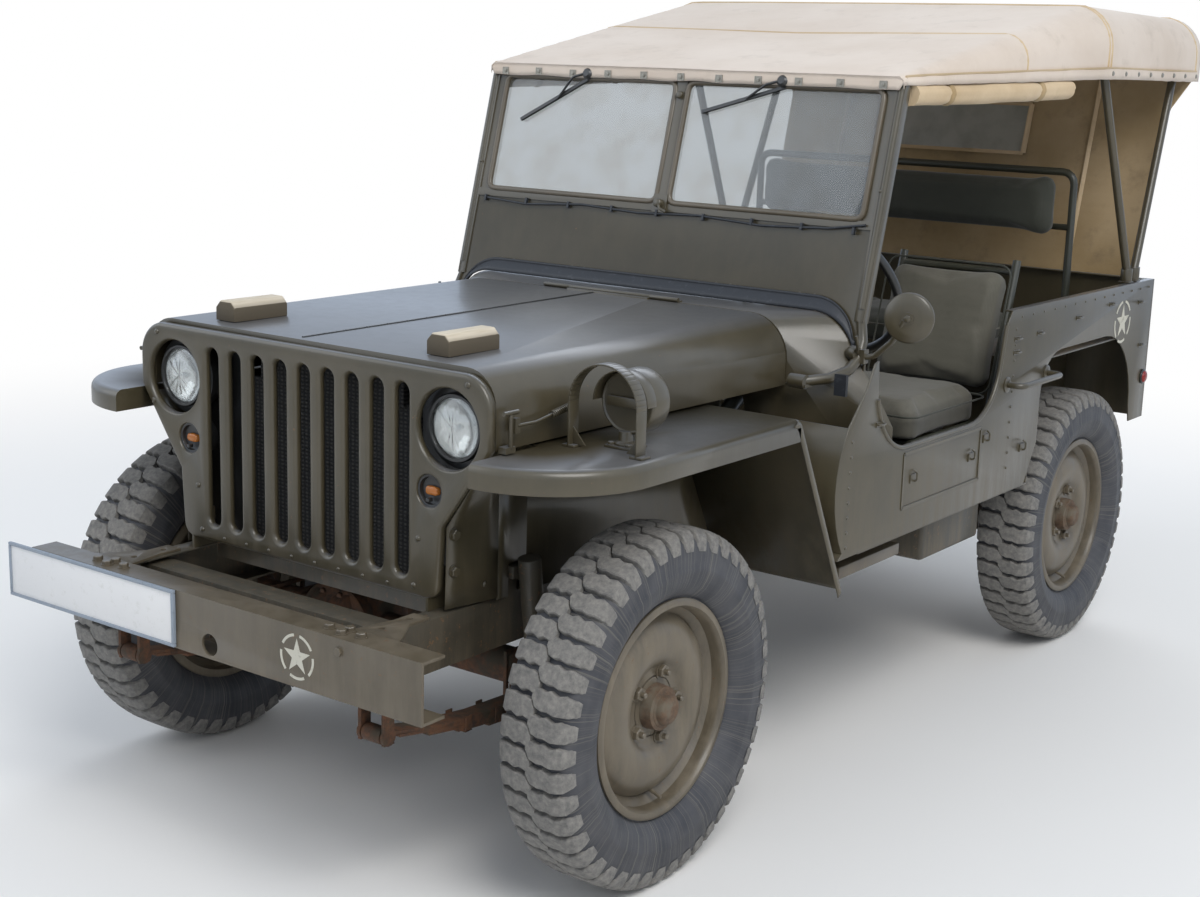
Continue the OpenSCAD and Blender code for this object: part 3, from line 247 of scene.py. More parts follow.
# darker than the roof's duck, partly as older cloth and partly as painted shade of the car's inside
aged_and_shaded_duck = duck("older_cotton_duck_with_painted_shade", "#b09a78", "#9c855f", "#7d6c54", 0.92, 0.7)
roll_duck = duck("rolled_tan_duck", "#d3bd9c", "#bda47f", "#95825f")
seat_duck = duck("grey_green_seat_duck", "#5b594e", "#67645a", "#45443b", 0.8)
dark_duck = duck("dark_green_seat_duck", "#33352c", "#3d3e34", "#26271f", 0.75)


def glass(name, tint, see_through, rough, dust):
    """Float glass with a thin film of dust that greys it and scatters a little light."""
    material, tree, shader, place = finish(name, IOR=1.5, Transmission_Weight=see_through, Roughness=rough)
    film = add(tree, "ShaderNodeTexNoise", {"Vector": place, "Scale": per(80), "Detail": 6})
    patch = add(tree, "ShaderNodeMapRange", {0: film.outputs[0], 1: 0.4, 2: 0.7})
    tone = add(tree, "ShaderNodeMix", {0: patch.outputs[0], 6: linear(tint), 7: linear(dust)},
               data_type="RGBA")
    wire(tree, shader, Base_Color=tone.outputs[2])
    return material


# the panes' milky grey is partly a dust film and partly a painted reflection of the sky in the glass's own
# colour
pane_glass = glass("window_glass_dust_and_painted_reflection", "#b4b9bb", 0.82, 0.0, "#abadab")
lens_glass = glass("pressed_lens_glass", "#f4f7f7", 0.9, 0.05, "#e8eae8")
amber_lens = glass("amber_lens_glass", "#e08a3c", 0.35, 0.2, "#c9772f")
red_lens = glass("red_lens_glass", "#a3261c", 0.3, 0.2, "#8a2018")
clouded_film = glass("clouded_window_film", "#a8a79c", 0.25, 0.5, "#8b887b")

# anodised reflector: bright silver, slightly brushed
mirror_metal, tree, shader, place = finish("bright_reflector_metal", Metallic=1.0, Roughness=0.16)
brushed = add(tree, "ShaderNodeTexNoise", {"Vector": place, "Scale": per(3), "Detail": 2})
bright = add(tree, "ShaderNodeMix", {0: brushed.outputs[0], 6: linear("#e3e6e8"), 7: linear("#c8ccd0")},
             data_type="RGBA")
wire(tree, shader, Base_Color=bright.outputs[2])

# zinc-plated fasteners: dull silver with grey spots
zinc, tree, shader, place = finish("dull_zinc_plate", Metallic=0.8, Roughness=0.45)
spots = add(tree, "ShaderNodeTexNoise", {"Vector": place, "Scale": per(6), "Detail": 5})
zinc_tone = add(tree, "ShaderNodeMix", {0: spots.outputs[0], 6: linear("#a6a297"), 7: linear("#756f63")},
                data_type="RGBA")
wire(tree, shader, Base_Color=zinc_tone.outputs[2])


def painted(name, tone, worn, rough):
    """Thin flat paint on metal, rubbed through in small patches."""
    material, tree, shader, place = finish(name, Roughness=rough)
    rub = add(tree, "ShaderNodeTexNoise", {"Vector": place, "Scale": per(18), "Detail": 9, "Roughness": 0.75})
    through = add(tree, "ShaderNodeMapRange", {0: rub.outputs[0], 1: 0.56, 2: 0.66})
    colour = add(tree, "ShaderNodeMix", {0: through.outputs[0], 6: linear(tone), 7: linear(worn)},
                 data_type="RGBA")
    relief = add(tree, "ShaderNodeBump", {"Height": rub.outputs[0], "Strength": 0.1, "Distance": 0.0005})
    wire(tree, shader, Base_Color=colour.outputs[2], Normal=relief.outputs[0])
    return material


plate_white = painted("white_plate_enamel", "#e6e6e6", "#dcdcda", 0.4)
plate_edge = painted("blue_grey_plate_frame", "#8d97a3", "#7a838e", 0.45)
stencil_white = painted("stencilled_white_paint", "#c9c6b8", "#8f8a78", 0.7)
seal_rubber = painted("weather_strip_rubber", "#26282c", "#3d3f44", 0.5)
dial_white = painted("white_dial_marks", "#d8d6cc", "#bdbab0", 0.5)
dark_inside = painted("soot_black_paint", "#151513", "#24221e", 0.9)

# radiator core: black dipped brass, matt; its fins are drawn 8 mm apart, coarser than
# the real 3 mm, so that they show
core_black, tree, shader, place = finish("dipped_radiator_core", Roughness=0.7)
fins = add(tree, "ShaderNodeTexWave", {"Vector": place, "Scale": per(26)}, bands_direction="Z")
tubes = add(tree, "ShaderNodeTexWave", {"Vector": place, "Scale": per(38)}, bands_direction="X")
lattice = add(tree, "ShaderNodeMath", {0: fins.outputs[1], 1: tubes.outputs[1]}, operation="MULTIPLY")
# painted shade: the colour goes near black in the gaps between the fins and tubes
fins_and_painted_gap_shade = add(tree, "ShaderNodeMix", {0: lattice.outputs[0], 6: linear("#0f0f0f"), 7: linear("#4a4844")},
                data_type="RGBA")
core_relief = add(tree, "ShaderNodeBump", {"Height": lattice.outputs[0], "Strength": 0.8, "Distance": 0.003})
wire(tree, shader, Base_Color=fins_and_painted_gap_shade.outputs[2], Normal=core_relief.outputs[0])

# ash rest blocks: olive sides, tops worn to bare pale wood with grain along the block
ash_wood, tree, shader, place = finish("worn_ash_block", Roughness=0.75)
along = add(tree, "ShaderNodeMapping", {"Vector": place, "Scale": (1, 0.08, 1)})
grain = add(tree, "ShaderNodeTexNoise", {"Vector": along.outputs[0], "Scale": per(5), "Detail": 6})
timber = add(tree, "ShaderNodeMix", {0: grain.outputs[0], 6: linear("#dfd6c6"), 7: linear("#b7a98f")},
             data_type="RGBA")
facing = add(tree, "ShaderNodeSeparateXYZ", {0: add(tree, "ShaderNodeNewGeometry").outputs["Normal"]})
upward = add(tree, "ShaderNodeMapRange", {0: facing.outputs[2], 1: 0.45, 2: 0.7})
block_tone = add(tree, "ShaderNodeMix", {0: upward.outputs[0], 6: linear("#5b5243"), 7: timber.outputs[2]},
                 data_type="RGBA")
grain_relief = add(tree, "ShaderNodeBump", {"Height": grain.outputs[0], "Strength": 0.3, "Distance": 0.001})
wire(tree, shader, Base_Color=block_tone.outputs[2], Normal=grain_relief.outputs[0])


# ---- making shapes ----

def arc(cx, cy, r, start, end, steps):
    """Points round a circle, from start to end degrees."""
    turn = [math.radians(start + (end - start) * i / steps) for i in range(steps + 1)]
    return [(cx + r * math.cos(t), cy + r * math.sin(t)) for t in turn]


def box(bm, low, high, place=Matrix()):
    """A box from its low to its high corner."""
    size = Vector(high) - Vector(low)
    middle = (Vector(high) + Vector(low)) / 2
    bmesh.ops.create_cube(bm, size=1, matrix=place @ Matrix.Translation(middle) @ Matrix.Diagonal((*size, 1)))


def lofted(bm, rings, closed=True, ends=False):
    """Joins rings of the same number of points with four-sided faces."""
    rows = [[bm.verts.new(p) for p in ring] for ring in rings]
    count = len(rows[0])
    for one, two in zip(rows, rows[1:]):
        for i in range(count if closed else count - 1):
            j = (i + 1) % count
            bm.faces.new((one[i], one[j], two[j], two[i]))
    if ends:
        bm.faces.new(rows[0])
        bm.faces.new(rows[-1][::-1])
    return rows


def slab(bm, outline, low, high, place=Matrix()):
    """A flat outline in x and y, made solid from low to high along z."""
    lofted(bm, [[place @ Vector((x, y, z)) for x, y in outline] for z in (low, high)], True, True)


def turned(bm, profile, place=Matrix(), steps=64, loop=False):
    """Turns a profile of radius and height round the place's Z axis."""
    rings = []
    for k in range(steps):
        a = math.tau * k / steps
        rings.append([place @ Vector((r * math.cos(a), r * math.sin(a), h)) for r, h in profile])
    rows = [[bm.verts.new(p) for p in ring] for ring in rings]
    count = len(profile)
    for k in range(steps):
        one, two = rows[k], rows[(k + 1) % steps]
        for i in range(count if loop else count - 1):
            j = (i + 1) % count
            bm.faces.new((one[i], two[i], two[j], one[j]))


def rounded(path, r, steps=5):
    """The path with its corners turned into bends of radius r."""
    points = [Vector(path[0])]
    for a, b, c in zip(path, path[1:], path[2:]):
        a, b, c = Vector(a), Vector(b), Vector(c)
        u, v = (a - b).normalized(), (c - b).normalized()
        half = u.angle(v) / 2
        cut = min(r / math.tan(half), (a - b).length * 0.48, (c - b).length * 0.48)
        for i in range(steps + 1):
            t = i / steps
            points.append((b + u * cut) * (1 - t) ** 2 + b * 2 * t * (1 - t) + (b + v * cut) * t * t)
    return points + [Vector(path[-1])]


def swept(bm, path, r, sides=12, flat=1.0, closed=False):
    """A round rod along a path. Below 1, flat squeezes it across its bend."""
    points = [Vector(p) for p in path]
    side = None
    rings = []
    count = len(points)
    for i, p in enumerate(points):
        if closed:
            ahead = (points[(i + 1) % count] - points[i - 1]).normalized()
        else:
            ahead = (points[min(i + 1, count - 1)] - points[max(i - 1, 0)]).normalized()
        if side is None:
            side = ahead.orthogonal().normalized()
        side = (side - ahead * side.dot(ahead)).normalized()
        up = ahead.cross(side)
        turn = [math.tau * k / sides for k in range(sides)]
        rings.append([p + side * (r * math.cos(t)) + up * (r * flat * math.sin(t)) for t in turn])
    if closed:
        rings.append(rings[0])
    lofted(bm, rings, True, not closed)


def coiled(bm, a, b, r, turns, wire):
    """A coil spring of wire radius wire, wound at radius r from a to b."""
    a, b = Vector(a), Vector(b)
    ahead = (b - a).normalized()
    side = ahead.orthogonal().normalized()
    up = ahead.cross(side)
    steps = turns * 10
    path = []
    for i in range(steps + 1):
        t = math.tau * turns * i / steps
        path.append(a.lerp(b, i / steps) + side * (r * math.cos(t)) + up * (r * math.sin(t)))
    swept(bm, path, wire, 6)


def aimed(at, direction):
    """A place at a point, with its Z along a direction."""
    turn = Vector((0, 0, 1)).rotation_difference(Vector(direction)).to_matrix().to_4x4()
    return Matrix.Translation(at) @ turn


def hexagon(bm, at, direction, across, height):
    """A six-sided bolt head or nut with a chamfered crown and a washer under it."""
    place = aimed(at, direction)
    r = across / math.sqrt(3)
    turned(bm, [(0, 0), (r * 1.25, 0), (r * 1.25, height * 0.18), (0, height * 0.18)], place, 20)
    turned(bm, [(0, height * 0.15), (r, height * 0.15), (r, height * 0.85), (r * 0.86, height), (0, height)],
           place, 6)


def rivet(bm, at, direction, r):
    """A round-headed rivet."""
    turned(bm, [(r, 0), (r * 0.92, r * 0.3), (r * 0.6, r * 0.55), (0, r * 0.66)], aimed(at, direction), 14)


def both_sides(bm):
    """Repeats what is drawn so far on the car's other side."""
    copy = bmesh.ops.duplicate(bm, geom=bm.verts[:] + bm.edges[:] + bm.faces[:])["geom"]
    for v in copy:
        if isinstance(v, bmesh.types.BMVert):
            v.co.x = -v.co.x
    bmesh.ops.reverse_faces(bm, faces=[f for f in copy if isinstance(f, bmesh.types.BMFace)])


def bevelled(obj, width, angle, segments=2):
    """Rounds the object's edges that are sharper than angle, by width millimetres."""
    modifier = obj.modifiers.new("rounded_edges", "BEVEL")
    modifier.width = width / 1000
    modifier.segments = segments
    modifier.limit_method = "ANGLE"
    modifier.angle_limit = math.radians(angle)
    modifier.use_clamp_overlap = True
    seen = bpy.context.evaluated_depsgraph_get()
    rounded_mesh = bpy.data.meshes.new_from_object(obj.evaluated_get(seen))
    obj.modifiers.clear()
    obj.data = rounded_mesh


def shaded(mesh, angle):
    """Smooth shading, with edges sharper than angle kept crisp."""
    mesh.polygons.foreach_set("use_smooth", [True] * len(mesh.polygons))
    mesh.set_sharp_from_angle(angle=math.radians(angle))


def piece(name, bm, body, material, replaces=(), edge=0, smooth=38, centre=None):
    """Makes an object of what was drawn, in the row frame, riding on a body."""
    bmesh.ops.remove_doubles(bm, verts=bm.verts, dist=0.01)
    bmesh.ops.recalc_face_normals(bm, faces=bm.faces)
    mesh = bpy.data.meshes.new(name)
    bm.to_mesh(mesh)
    bm.free()
    mesh.transform(TO_ROW)
    obj = bpy.data.objects.new(name, mesh)
    bpy.context.scene.collection.objects.link(obj)
    if centre:
        obj.location = TO_ROW @ Vector(centre)
        mesh.transform(Matrix.Translation(-obj.location))
    mesh.materials.append(material)
    bpy.context.view_layer.update()
    if edge:
        bevelled(obj, edge, 30)
    shaded(obj.data, smooth)
    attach(obj, body)
    if replaces:
        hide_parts(*replaces)
    return obj


def thickened(obj, title, thickness, offset):
    """Gives a sheet its thickness in millimetres: offset 0 grows it both ways, -1 inwards."""
    sheet = obj.modifiers.new(title, "SOLIDIFY")
    sheet.thickness = thickness / 1000
    sheet.offset = offset


def softened(node, material, width=1.0, smooth=35):
    """The CAD node with its edges rounded, standing in for it."""
    source = nodes[node]
    bm = bmesh.new()
    bm.from_mesh(source.data)
    bmesh.ops.remove_doubles(bm, verts=bm.verts, dist=0.00002)
    bmesh.ops.dissolve_limit(bm, angle_limit=math.radians(1.0), verts=bm.verts, edges=bm.edges)
    mesh = bpy.data.meshes.new(node + "_body")
    bm.to_mesh(mesh)
    bm.free()
    mesh.materials.clear()
    mesh.materials.append(material)
    obj = bpy.data.objects.new(node + "_rounded", mesh)
    bpy.context.scene.collection.objects.link(obj)
    bpy.context.view_layer.update()
    if width:
        bevelled(obj, width, 35)
    shaded(obj.data, smooth)
    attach(obj, body_of[node])
    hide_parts(node)
    return obj


# ---- wheels ----

TYRE_R = 360
RIM_R = 222
LUGS = 46
WHEEL_BOLTS = 5
BOLT_CIRCLE_R = 70


def tyre(name, place, centre, body):
    """A bar-tread tyre: chunky lugs from each shoulder to the middle, set half a pitch
    apart, on a carcass with a moulded ring and ribs on its shoulders."""
    outer = [(208, 50), (RIM_R + 2, 51.5), (RIM_R + 6, 57), (RIM_R + 12, 63), (RIM_R + 24, 73),
             (RIM_R + 40, 79),
             (RIM_R + 52, 81.5), (RIM_R + 56, 82.5), (RIM_R + 62, 82.5), (RIM_R + 66, 81.3),
             (RIM_R + 84, 80.5),
             (RIM_R + 100, 78.5), (335, 74), (343, 66), (347, 52), (348, 26), (348.5, 0)]
    inner = [(208.5, 38), (RIM_R + 24, 44), (RIM_R + 62, 68), (332, 52), (336, 0)]
    profile = outer + [(r, -z) for r, z in outer[-2::-1]] + [(r, -z) for r, z in inner] + inner[-2::-1]
    bm = bmesh.new()
    turned(bm, profile, place, 96, True)
    piece(name + "_carcass", bm, body, side_rubber, [name], smooth=42, centre=centre)
    bm = bmesh.new()
    pitch = math.tau / LUGS
    for side in (-1, 1):
        for i in range(LUGS):
            middle = (i + (0.25 if side > 0 else -0.25)) * pitch
            # across the tread: distance from the middle, radius, half width, lean of the bar
            stations = [(-5, 359, 9, -0.02), (5, TYRE_R, 18, 0), (20, TYRE_R, 18, 0.012),
                        (32, TYRE_R, 19.5, 0.004),
                        (48, 359.2, 18, 0.02), (62, 356.5, 19.5, 0.012), (72, 350, 18, 0.016),
                        (78, 338, 15, 0.016),
                        (80.2, 326, 12, 0.016)]
            rings = []
            for z, r, half, lean in stations:
                root = min(r - 2, 345 if z < 60 else (340 if z < 70 else 326 if z < 79 else 318))
                ring = []
                for dr, share in ((root - r, 1.12), (-2.5, 1.02), (0, 0.9), (0, -0.9), (-2.5, -1.02),
                                  (root - r, -1.12)):
                    a = middle + lean * side + share * half / TYRE_R
                    ring.append(place @ Vector(((r + dr) * math.cos(a), (r + dr) * math.sin(a), z * side)))
                rings.append(ring)
            lofted(bm, rings, True, True)
    piece(name + "_lugs", bm, body, tread_rubber, smooth=30, centre=centre)

def rim(name, place, centre, body, hub):
    """A pressed disc wheel with a gutter lip, its nuts and, on an axle, its hub and drum."""
    barrel = [(203, -60), (216, -60), (221, -57), (221.5, -53), (216, -51), (208, -52.5), (205.5, -46),
              (204, -32),
              (190, -20), (190, 12), (204, 28), (205.5, 46), (208, 52.5), (216, 51), (221.5, 53), (221, 57),
              (216, 60),
              (207, 60), (203, 55), (201, 48), (200, 30), (185, 15), (185, -24), (200, -36), (201, -50)]
    disc = [(60, 18), (80, 18), (86, 21), (92, 27), (102, 32), (114, 35.5), (126, 37), (140, 35.5),
            (156, 31), (172, 20),
            (181, 10), (185, 6), (189, 6.5), (189, 12), (185, 13), (174, 28), (158, 38), (140, 43),
            (126, 44.5),
            (110, 42.5), (96, 38.5), (88, 31), (82, 26.5), (76, 25), (60, 25)]
    centre_hole = 45 if hub else 20
    plate = [(centre_hole, 18), (62, 18), (62, 25), (centre_hole, 25)]
    bm = bmesh.new()
    turned(bm, barrel, place, 96, True)
    turned(bm, disc, place, 96, True)
    turned(bm, plate, place, 64, True)
    # valve stem through the disc
    swept(bm, [place @ Vector(p) for p in ((176, 0, 24), (180, 0, 38), (186, 0, 52))], 4, 8)
    piece(name + "_disc", bm, body, road_olive, [name], smooth=40, centre=centre)
    bm = bmesh.new()
    for i in range(WHEEL_BOLTS):
        a = math.tau * (i + 0.25) / WHEEL_BOLTS
        at = place @ Vector((BOLT_CIRCLE_R * math.cos(a), BOLT_CIRCLE_R * math.sin(a), 25))
        outward = (place.to_3x3() @ Vector((0, 0, 1))).normalized()
        if hub:
            turned(bm, [(0, -4), (6, -4), (6, 21), (4.5, 23), (0, 23)], aimed(at, outward), 12)
            hexagon(bm, at, outward, 24, 13)
        else:
            turned(bm, [(8.5, -1), (8.5, 1), (6, 1.4), (6, -0.4)], aimed(at, outward), 16, True)
    nut_paint = road_olive if hub else black_enamel
    piece(name + "_nuts", bm, body, nut_paint, smooth=30, centre=centre)
    if hub:
        bm = bmesh.new()
        turned(bm, [(20.3, -45), (46, -45), (46, 2), (119, 2), (119, -46), (126, -46), (126, 5), (122, 9),
                    (72, 9),
                    (72, 18), (46, 18), (46, 30), (44, 50), (36, 52), (20.3, 52)], place, 72, True)
        piece(name + "_drum", bm, body, hub_rust, smooth=35, centre=centre)
        bm = bmesh.new()
        cap = [(0, 70), (20, 70), (27, 68), (30, 64), (30.5, 54), (36, 53), (38, 50), (38, 46), (30, 46),
               (24, 52), (0, 60)]
        turned(bm, cap, place, 48)
        piece(name + "_cap", bm, body, hub_rust, smooth=40, centre=centre)


def wheel_place(x, y, side):
    """The place of a wheel, its Z pointing outwards."""
    return Matrix.Translation((x, y, AXLE_Z)) @ Matrix.Rotation(math.radians(90 * side), 4, "Y")


for corner, x, y, side in (("front_left", WHEEL_X, 0, 1), ("front_right", -WHEEL_X, 0, -1),
                           ("rear_left", WHEEL_X, WHEELBASE, 1), ("rear_right", -WHEEL_X, WHEELBASE, -1)):
    place = wheel_place(x, y, side)
    tyre(corner + "_tyre", place, (x, y, AXLE_Z), corner + "_wheel")
    rim(corner + "_rim", place, (x, y, AXLE_Z), corner + "_wheel", True)

SPARE = (-330, 2612.5, 820)
spare_place = Matrix.Translation(SPARE) @ Matrix.Rotation(math.radians(-90), 4, "X")
# the sidewall's cracks run out from the X axis, so on the spare, which faces back, they do not
tyre("spare_tyre", spare_place, SPARE, "chassis")
rim("spare_rim", spare_place, SPARE, "chassis", False)
bm = bmesh.new()
rear_way = Vector((0, 1, 0))
turned(bm, [(0, 0), (44, 0), (50, 3), (50, 9), (30, 12), (19.4, 12), (19.4, 20), (0, 20)],
       aimed((SPARE[0], 2638.5, SPARE[2]), rear_way), 48)
for i in range(3):
    a = math.tau * i / 3
    hexagon(bm, Vector((SPARE[0] + 34 * math.cos(a), 2649, SPARE[2] + 34 * math.sin(a))), rear_way, 19, 11)
piece("spare_clamp", bm, "chassis", olive, smooth=35)


# ---- chassis and drive line ----

for node, material, width in (
        ("frame", chassis_paint, 1.5), ("front_axle", rust, 2), ("rear_axle", rust, 2),
                              ("leaf_springs", rust, 0.8),
        ("shock_absorbers", chassis_paint, 2), ("engine", cast_iron, 6), ("gearbox", cast_iron, 8),
        ("prop_shafts", chassis_paint, 2), ("exhaust", rust, 2), ("fuel_tank", chassis_paint, 10),
        ("radiator", core_black, 2), ("front_bumper", road_olive, 2.5), ("left_knuckle", rust, 1.5),
        ("right_knuckle", rust, 1.5), ("tie_rod", chassis_paint, 1.5), ("tow_hook", chassis_paint, 3),
        ("bumperettes", road_olive, 2), ("cowl", olive, 1.2), ("floor", olive, 1.0),
                              ("side_panels", olive, 1.6),
        ("rear_panel", olive, 1.2), ("side_steps", road_olive, 2), ("grab_handles", olive, 0.8),
        ("windshield_frame", olive, 2), ("steering_column", dark_olive, 1.2),
                              ("driver_seat_frame", dark_olive, 0),
        ("passenger_seat_frame", dark_olive, 0), ("rear_seat_frame", dark_olive, 0), ("top_bows", olive, 0),
        ("hood", olive, 2.0)):
    softened(node, material, width)

bm = bmesh.new()
# leaf clips and axle cover bolts
for y in (0, WHEELBASE):
    for x in (-345, 345):
        for reach in (-230, -140, 140, 230):
            drop = 48 * (1 - ((abs(reach) - 54) / 406) ** 2)
            z = 370 - drop
            box(bm, (x - 27, y + reach - 9, z - 26), (x + 27, y + reach + 9, z - 23))
            for s in (-1, 1):
                box(bm, (x + s * 25.5 - 1.5, y + reach - 9, z - 26),
                    (x + s * 25.5 + 1.5, y + reach + 9, z + 6))
for y, face in ((0, -1), (WHEELBASE, 1)):
    for i in range(10):
        a = math.tau * i / 10
        at = Vector((-160 + 84 * math.cos(a), y + face * 73, AXLE_Z + 84 * math.sin(a)))
        hexagon(bm, at, (0, face, 0), 14, 8)
piece("axle_clips_and_bolts", bm, "chassis", rust, edge=0.6)

bm = bmesh.new()
for y, face in ((0, -1), (WHEELBASE, 1)):
    place = aimed((-160, y + face * 44, AXLE_Z), (0, face, 0))
    turned(bm, [(104, 0), (104, 24), (98, 29), (84, 32), (70, 44), (40, 58), (0, 62)], place, 48)
piece("differential_covers", bm, "chassis", rust, smooth=40)

bm = bmesh.new()
# engine top: rocker cover, air cleaner and hoses seen through the slots and from below
box(bm, (-60, 0, 901), (90, 460, 955))
turned(bm, [(0, 0), (84, 0), (84, 70), (74, 82), (0, 82)], aimed((-220, 330, 800), (0, 0, 1)), 40)
swept(bm, rounded([(0, -60, 900), (0, -140, 960), (0, -180, 960)], 60), 24, 14)
swept(bm, rounded([(40, -80, 640), (120, -130, 600), (120, -170, 600)], 30), 22, 14)
for s in (-1, 1):
    box(bm, (s * 308 - 70, -222, 575), (s * 308 + 70, -219, 985))
piece("engine_fittings", bm, "chassis", black_enamel, edge=5)


# ---- number plate ----

low, high = (-615, BUMPER_Y - 8, 456), (-95, BUMPER_Y - 0.3, 571)
bm = bmesh.new()
box(bm, (low[0] + 5, low[1] + 2.5, low[2] + 5), (high[0] - 5, high[1], high[2] - 5))
piece("blank_number_plate", bm, "chassis", plate_white, ["number_plate"], edge=1)
bm = bmesh.new()
for lo, hi in (((low[0], low[1], low[2]), (high[0], high[1], low[2] + 7)),
               ((low[0], low[1], high[2] - 7), (high[0], high[1], high[2])),
               ((low[0], low[1], low[2] + 6.9), (low[0] + 7, high[1], high[2] - 6.9)),
               ((high[0] - 7, low[1], low[2] + 6.9), (high[0], high[1], high[2] - 6.9))):
    box(bm, lo, hi)
piece("plate_frame", bm, "chassis", plate_edge, edge=1.5)

# bumper bolts: along its top flange, through the gussets and on the apron below the grille
bm = bmesh.new()
for x in (-330, 330):
    for y in (BUMPER_Y + 22, BUMPER_Y + 44):
        hexagon(bm, (x, y, 571), (0, 0, 1), 17, 9)
    hexagon(bm, (x - 40, BUMPER_Y + 32, 571), (0, 0, 1), 17, 9)
    hexagon(bm, (x + 40, BUMPER_Y + 32, 571), (0, 0, 1), 17, 9)
hexagon(bm, (345, BUMPER_Y, 546), (0, -1, 0), 15, 5)
piece("bumper_bolts", bm, "chassis", road_olive, smooth=30)


# ---- grille ----

SLOT_Z = (637, 975)
SLOT_PITCH = 66
HEADLAMP = (380, 920)                 # across and up
MARKER = (336, 796)
FLARE = (0, 0.35, 0.75, 1.15, math.pi / 2)


def slot_outline(x, grow):
    """A round-ended upright slot, from its lower end round."""
    r = 18 + grow
    top = [(x + px, SLOT_Z[1] + pz) for px, pz in arc(0, 0, r, 0, 180, 12)]
    bottom = [(x + px, SLOT_Z[0] + pz) for px, pz in arc(0, 0, r, 180, 360, 12)]
    return top + bottom


def hole_outline(x, z, r):
    """A round hole in 40 points."""
    return arc(x, z, r, 0, 360 - 360 / 40, 39)


def grille_outline(inset):
    """Outside edge of the stamped panel, set in all round."""
    right = [(300, 585 + inset)] + [(x - inset * 0.7, z + inset * 0.6) for x,
                                    z in arc(330, 613, 28, -90, 0, 6)]
    right += [(366 - inset, 730), (484 - inset, 895)]
    right += arc(484 - 70, 1034 - 74, 70 - inset, 0, 82, 10)
    return right + [(-x, z) for x, z in reversed(right)]


bm = bmesh.new()
edges = []
holes = []
for i in range(9):
    x = (i - 4) * SLOT_PITCH
    holes.append([slot_outline(x, 8.5 * (1 - math.sin(t))) for t in FLARE])
for s in (-1, 1):
    holes.append([hole_outline(s * HEADLAMP[0], HEADLAMP[1], 77 + 5 * (1 - math.sin(t))) for t in FLARE])
    holes.append([hole_outline(s * MARKER[0], MARKER[1], 31 + 3 * (1 - math.sin(t))) for t in FLARE])
rim_steps = (0, 0.4, 0.8, 1.2, math.pi / 2)
rims = [[(x, GRILLE_Y + 8 * (1 - math.cos(t)), z) for x,
         z in grille_outline(8 * (1 - math.sin(t)))] for t in rim_steps]
rims.append([(x, GRILLE_Y + 18, z) for x, z in grille_outline(0)])
for rows in holes:
    depths = [0.6 + 10 * (1 - math.cos(t)) for t in FLARE]
    made = lofted(bm, [[(x, GRILLE_Y + d - 0.6, z) for x, z in row] for row, d in zip(rows, depths)]
                  + [[(x, GRILLE_Y + 15, z) for x, z in rows[-1]]])
    edges += [bm.edges.get((made[0][i], made[0][(i + 1) % len(made[0])])) for i in range(len(made[0]))]
made = lofted(bm, rims)
edges += [bm.edges.get((made[0][i], made[0][(i + 1) % len(made[0])])) for i in range(len(made[0]))]
bmesh.ops.triangle_fill(bm, edges=edges, use_beauty=True, use_dissolve=False)
grille = piece("stamped_grille", bm, "chassis", olive, ["grille"], smooth=50)
thickened(grille, "sheet_thickness", 1.6, -1)
bm = bmesh.new()
# feet on the rails, and the rivets and screws of the panel
for s in (-1, 1):
    box(bm, (s * 332 - 3, GRILLE_Y + 2, 560.3), (s * 332 + 3, GRILLE_Y + 60, 640))
for x, z in ((-445, 862), (445, 862), (-310, 700), (310, 700), (-300, 606), (300, 606), (-430, 1010),
             (430, 1010)):
    rivet(bm, (x, GRILLE_Y, z), (0, -1, 0), 6)
for i in range(8):
    rivet(bm, ((i - 3.5) * SLOT_PITCH, GRILLE_Y, 598), (0, -1, 0), 4)
piece("grille_feet_and_rivets", bm, "chassis", olive)


bm = bmesh.new()
# wing panels from the grille's edge back to the splash aprons, each with its bolts
front_curve = [(364, 566), (366, 640), (367, 728), (406, 784), (446, 840), (472, 878)]
rows = []
for k in range(5):
    t = k / 4
    rows.append([(x + (388 - x) * t, GRILLE_Y + 17 + (142 - 17) * t + 0.01, z) for x, z in front_curve])
lofted(bm, rows, False)
for z in (640, 712):
    hexagon(bm, (371, GRILLE_Y + 34, z), (1, -0.1, 0), 17, 8)
for z in (600, 760):
    rivet(bm, (383, GRILLE_Y + 110, z), (1, -0.1, 0), 5)
both_sides(bm)
wing = piece("front_wing_panels", bm, "chassis", olive, smooth=40)
thickened(wing, "sheet_thickness", 1.6, 0)


# ---- lamps ----

